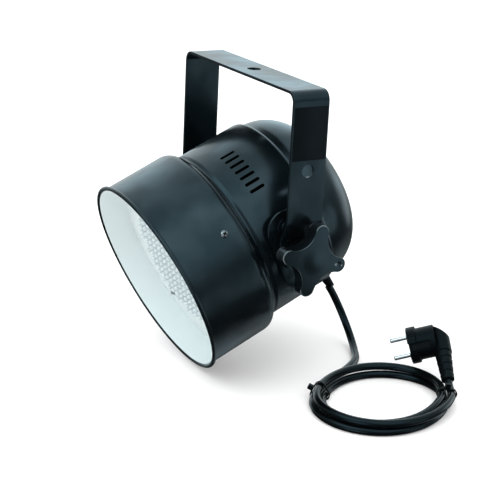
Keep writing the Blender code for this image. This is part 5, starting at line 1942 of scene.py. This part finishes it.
@dataclass
class Studio:
    """White floor, soft lights and the camera at the photo's angle."""

    target: Point = (0.0, 0.0057, -0.195)
    azimuth: float = 60.14
    elevation: float = 18.01
    roll: float = 2.85
    distance: float = 1.5253
    lens: float = 103.38
    sensor: float = 36.0
    floor_height: float = -0.3162
    sweep: Triple = (8.0, 17.0, 45.0)  # radius of the flat floor, radius of its rise and turn in degrees
    overhead: Pair = (0.85, 80.0)  # power, and width in degrees
    overhead_way: Point = (0.3, -0.3, 0.9)
    brightest: float = 3.0
    colour: Point = (0.86, 0.97, 1.0)
    levels: Stops = ((0.0, 0.01), (0.12, 0.012), (0.25, 0.02), (0.345, 0.035), (0.45, 0.06), (0.50, 0.10),
                     (0.65, 0.17), (0.85, 0.28), (1.0, 0.40))
    glows: tuple[tuple[Point, Pair, float], ...] = (  # direction, start and full strength, strength
        ((-0.93, 0.30, 0.25), (0.64, 0.98), 0.95),
        ((0.75, -0.1, 0.65), (0.74, 0.92), 0.8),
        ((-0.6, 0.0, 0.8), (0.7, 0.96), 0.15),
        ((0.73, 0.66, -0.17), (0.940, 0.985), 1.0),
        ((-0.2, 0.66, -0.72), (0.88, 0.98), 0.35),
        ((-0.15, 0.97, 0.07), (0.93, 0.985), 1.5),
        ((0.40, -0.86, -0.31), (0.88, 0.97), 1.6),
        ((0.10, -0.75, 0.65), (0.88, 0.97), 1.8))

    @staticmethod
    def show(name: str, data: bpy.types.ID, place: Matrix = Matrix()) -> bpy.types.Object:
        """Put something that isn't part of the lamp in the scene.

        Args:
            name: Its name.
            data: Its camera, light or mesh.
            place: Its placement.

        Returns:
            The object.
        """
        thing = bpy.data.objects.new(name, data)
        thing.matrix_world = place
        bpy.context.scene.collection.objects.link(thing)
        return thing

    def camera(self) -> None:
        """Place the camera where the photo was taken from."""
        turn, rise, lean = (math.radians(angle) for angle in (self.azimuth, self.elevation, self.roll))
        back = Vector((math.sin(turn) * math.cos(rise), -math.cos(turn) * math.cos(rise), math.sin(rise)))
        right = Vector((0, 0, 1)).cross(back).normalized()
        above = back.cross(right)
        axes = (right * math.cos(lean) + above * math.sin(lean),
                above * math.cos(lean) - right * math.sin(lean), back)
        lens = bpy.data.cameras.new("camera")
        lens.lens, lens.sensor_width = self.lens, self.sensor
        place = Matrix.Translation(Vector(self.target) + back * self.distance)
        bpy.context.scene.camera = self.show("camera", lens, place @ Matrix(axes).transposed().to_4x4())

    def sky(self) -> None:
        """Soft light from above and bright panels about the lamp, with a dark room below the horizon."""
        sky = Sky("studio")
        height = sky.node("ShaderNodeSeparateXYZ", {}, {0: sky.place}, 2)
        level = sky.ramp(height * 0.5 + 0.5, *self.levels) * self.brightest
        for way, (start, full), strength in self.glows:
            ways = {0: sky.place, 1: Vector(way).normalized()}
            facing = sky.node("ShaderNodeVectorMath", {"operation": "DOT_PRODUCT"}, ways, 1)
            level = level + sky.ramp(facing, (start, 0.0), (full, 1.0)) * strength
        sky.light(self.colour, level)

    def sun(self) -> None:
        """Add the broad soft light from above; it leaves no highlight of its own."""
        lamp = bpy.data.lights.new("overhead", "SUN")
        lamp.energy, lamp.angle = self.overhead[0], math.radians(self.overhead[1])
        thing = self.show("overhead", lamp)
        thing.rotation_euler = Vector(self.overhead_way).to_track_quat("Z", "Y").to_euler()
        thing.visible_glossy = False

    def floor(self) -> None:
        """Lay a plain pale floor that curves up far away, as in a studio without corners."""
        flat, bend, spread = self.sweep
        rise = arc((flat, self.floor_height + bend), bend, -90.0, spread - 90.0, 24)
        mesh = Shape().lathe([(0.0, self.floor_height), *rise], 96).mesh("floor")
        mesh.materials.append(Look.PAPER.material)
        thing = self.show("floor", mesh)
        thing.visible_glossy = False

    def build(self) -> None:
        """Set up the camera, world, lights and floor."""
        self.camera()
        self.sky()
        bpy.context.scene.view_settings.view_transform = "Standard"
        self.sun()
        self.floor()


# ---------------------------------------------------------------- assembly

KEPT = {
    "black_powder_coat": Look.COAT, "black_plastic": Look.PLUG, "black_rubber": Look.RUBBER,
    "white_liner": Look.LINER, "white_board": Look.BOARD, "green_board": Look.GREEN,
    "zinc_steel": Look.ZINC, "brass": Look.BRASS, "plain_steel": Look.STEEL,
}


def dress_kept_nodes() -> None:
    """Give each CAD node that still shows the finish of its slot."""
    for thing in bpy.data.objects:
        if "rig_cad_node" in thing and not thing.hide_render:
            for slot in thing.material_slots:
                name = slot.material.name
                look = next((look for start, look in KEPT.items() if name.startswith(start)), None)
                if look:
                    slot.material = look.material
            LOG.info("%s kept", thing.name)


def main() -> None:
    """Dress the lamp, one sub-assembly after another."""
    logging.basicConfig(level=logging.INFO, format="%(message)s")
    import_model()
    Studio().build()
    shells = Shells()
    sockets = Sockets(shells.back)
    shells.build(sockets.centres, sockets.body[0] + GAP)
    LightEngine().build()
    Side("right", 1).build()
    Side("left", -1).build()
    Yoke().build()
    Gland(shells).build()
    sockets.build()
    MainsLead().build()
    dress_kept_nodes()


if __name__ == "__main__":
    main()
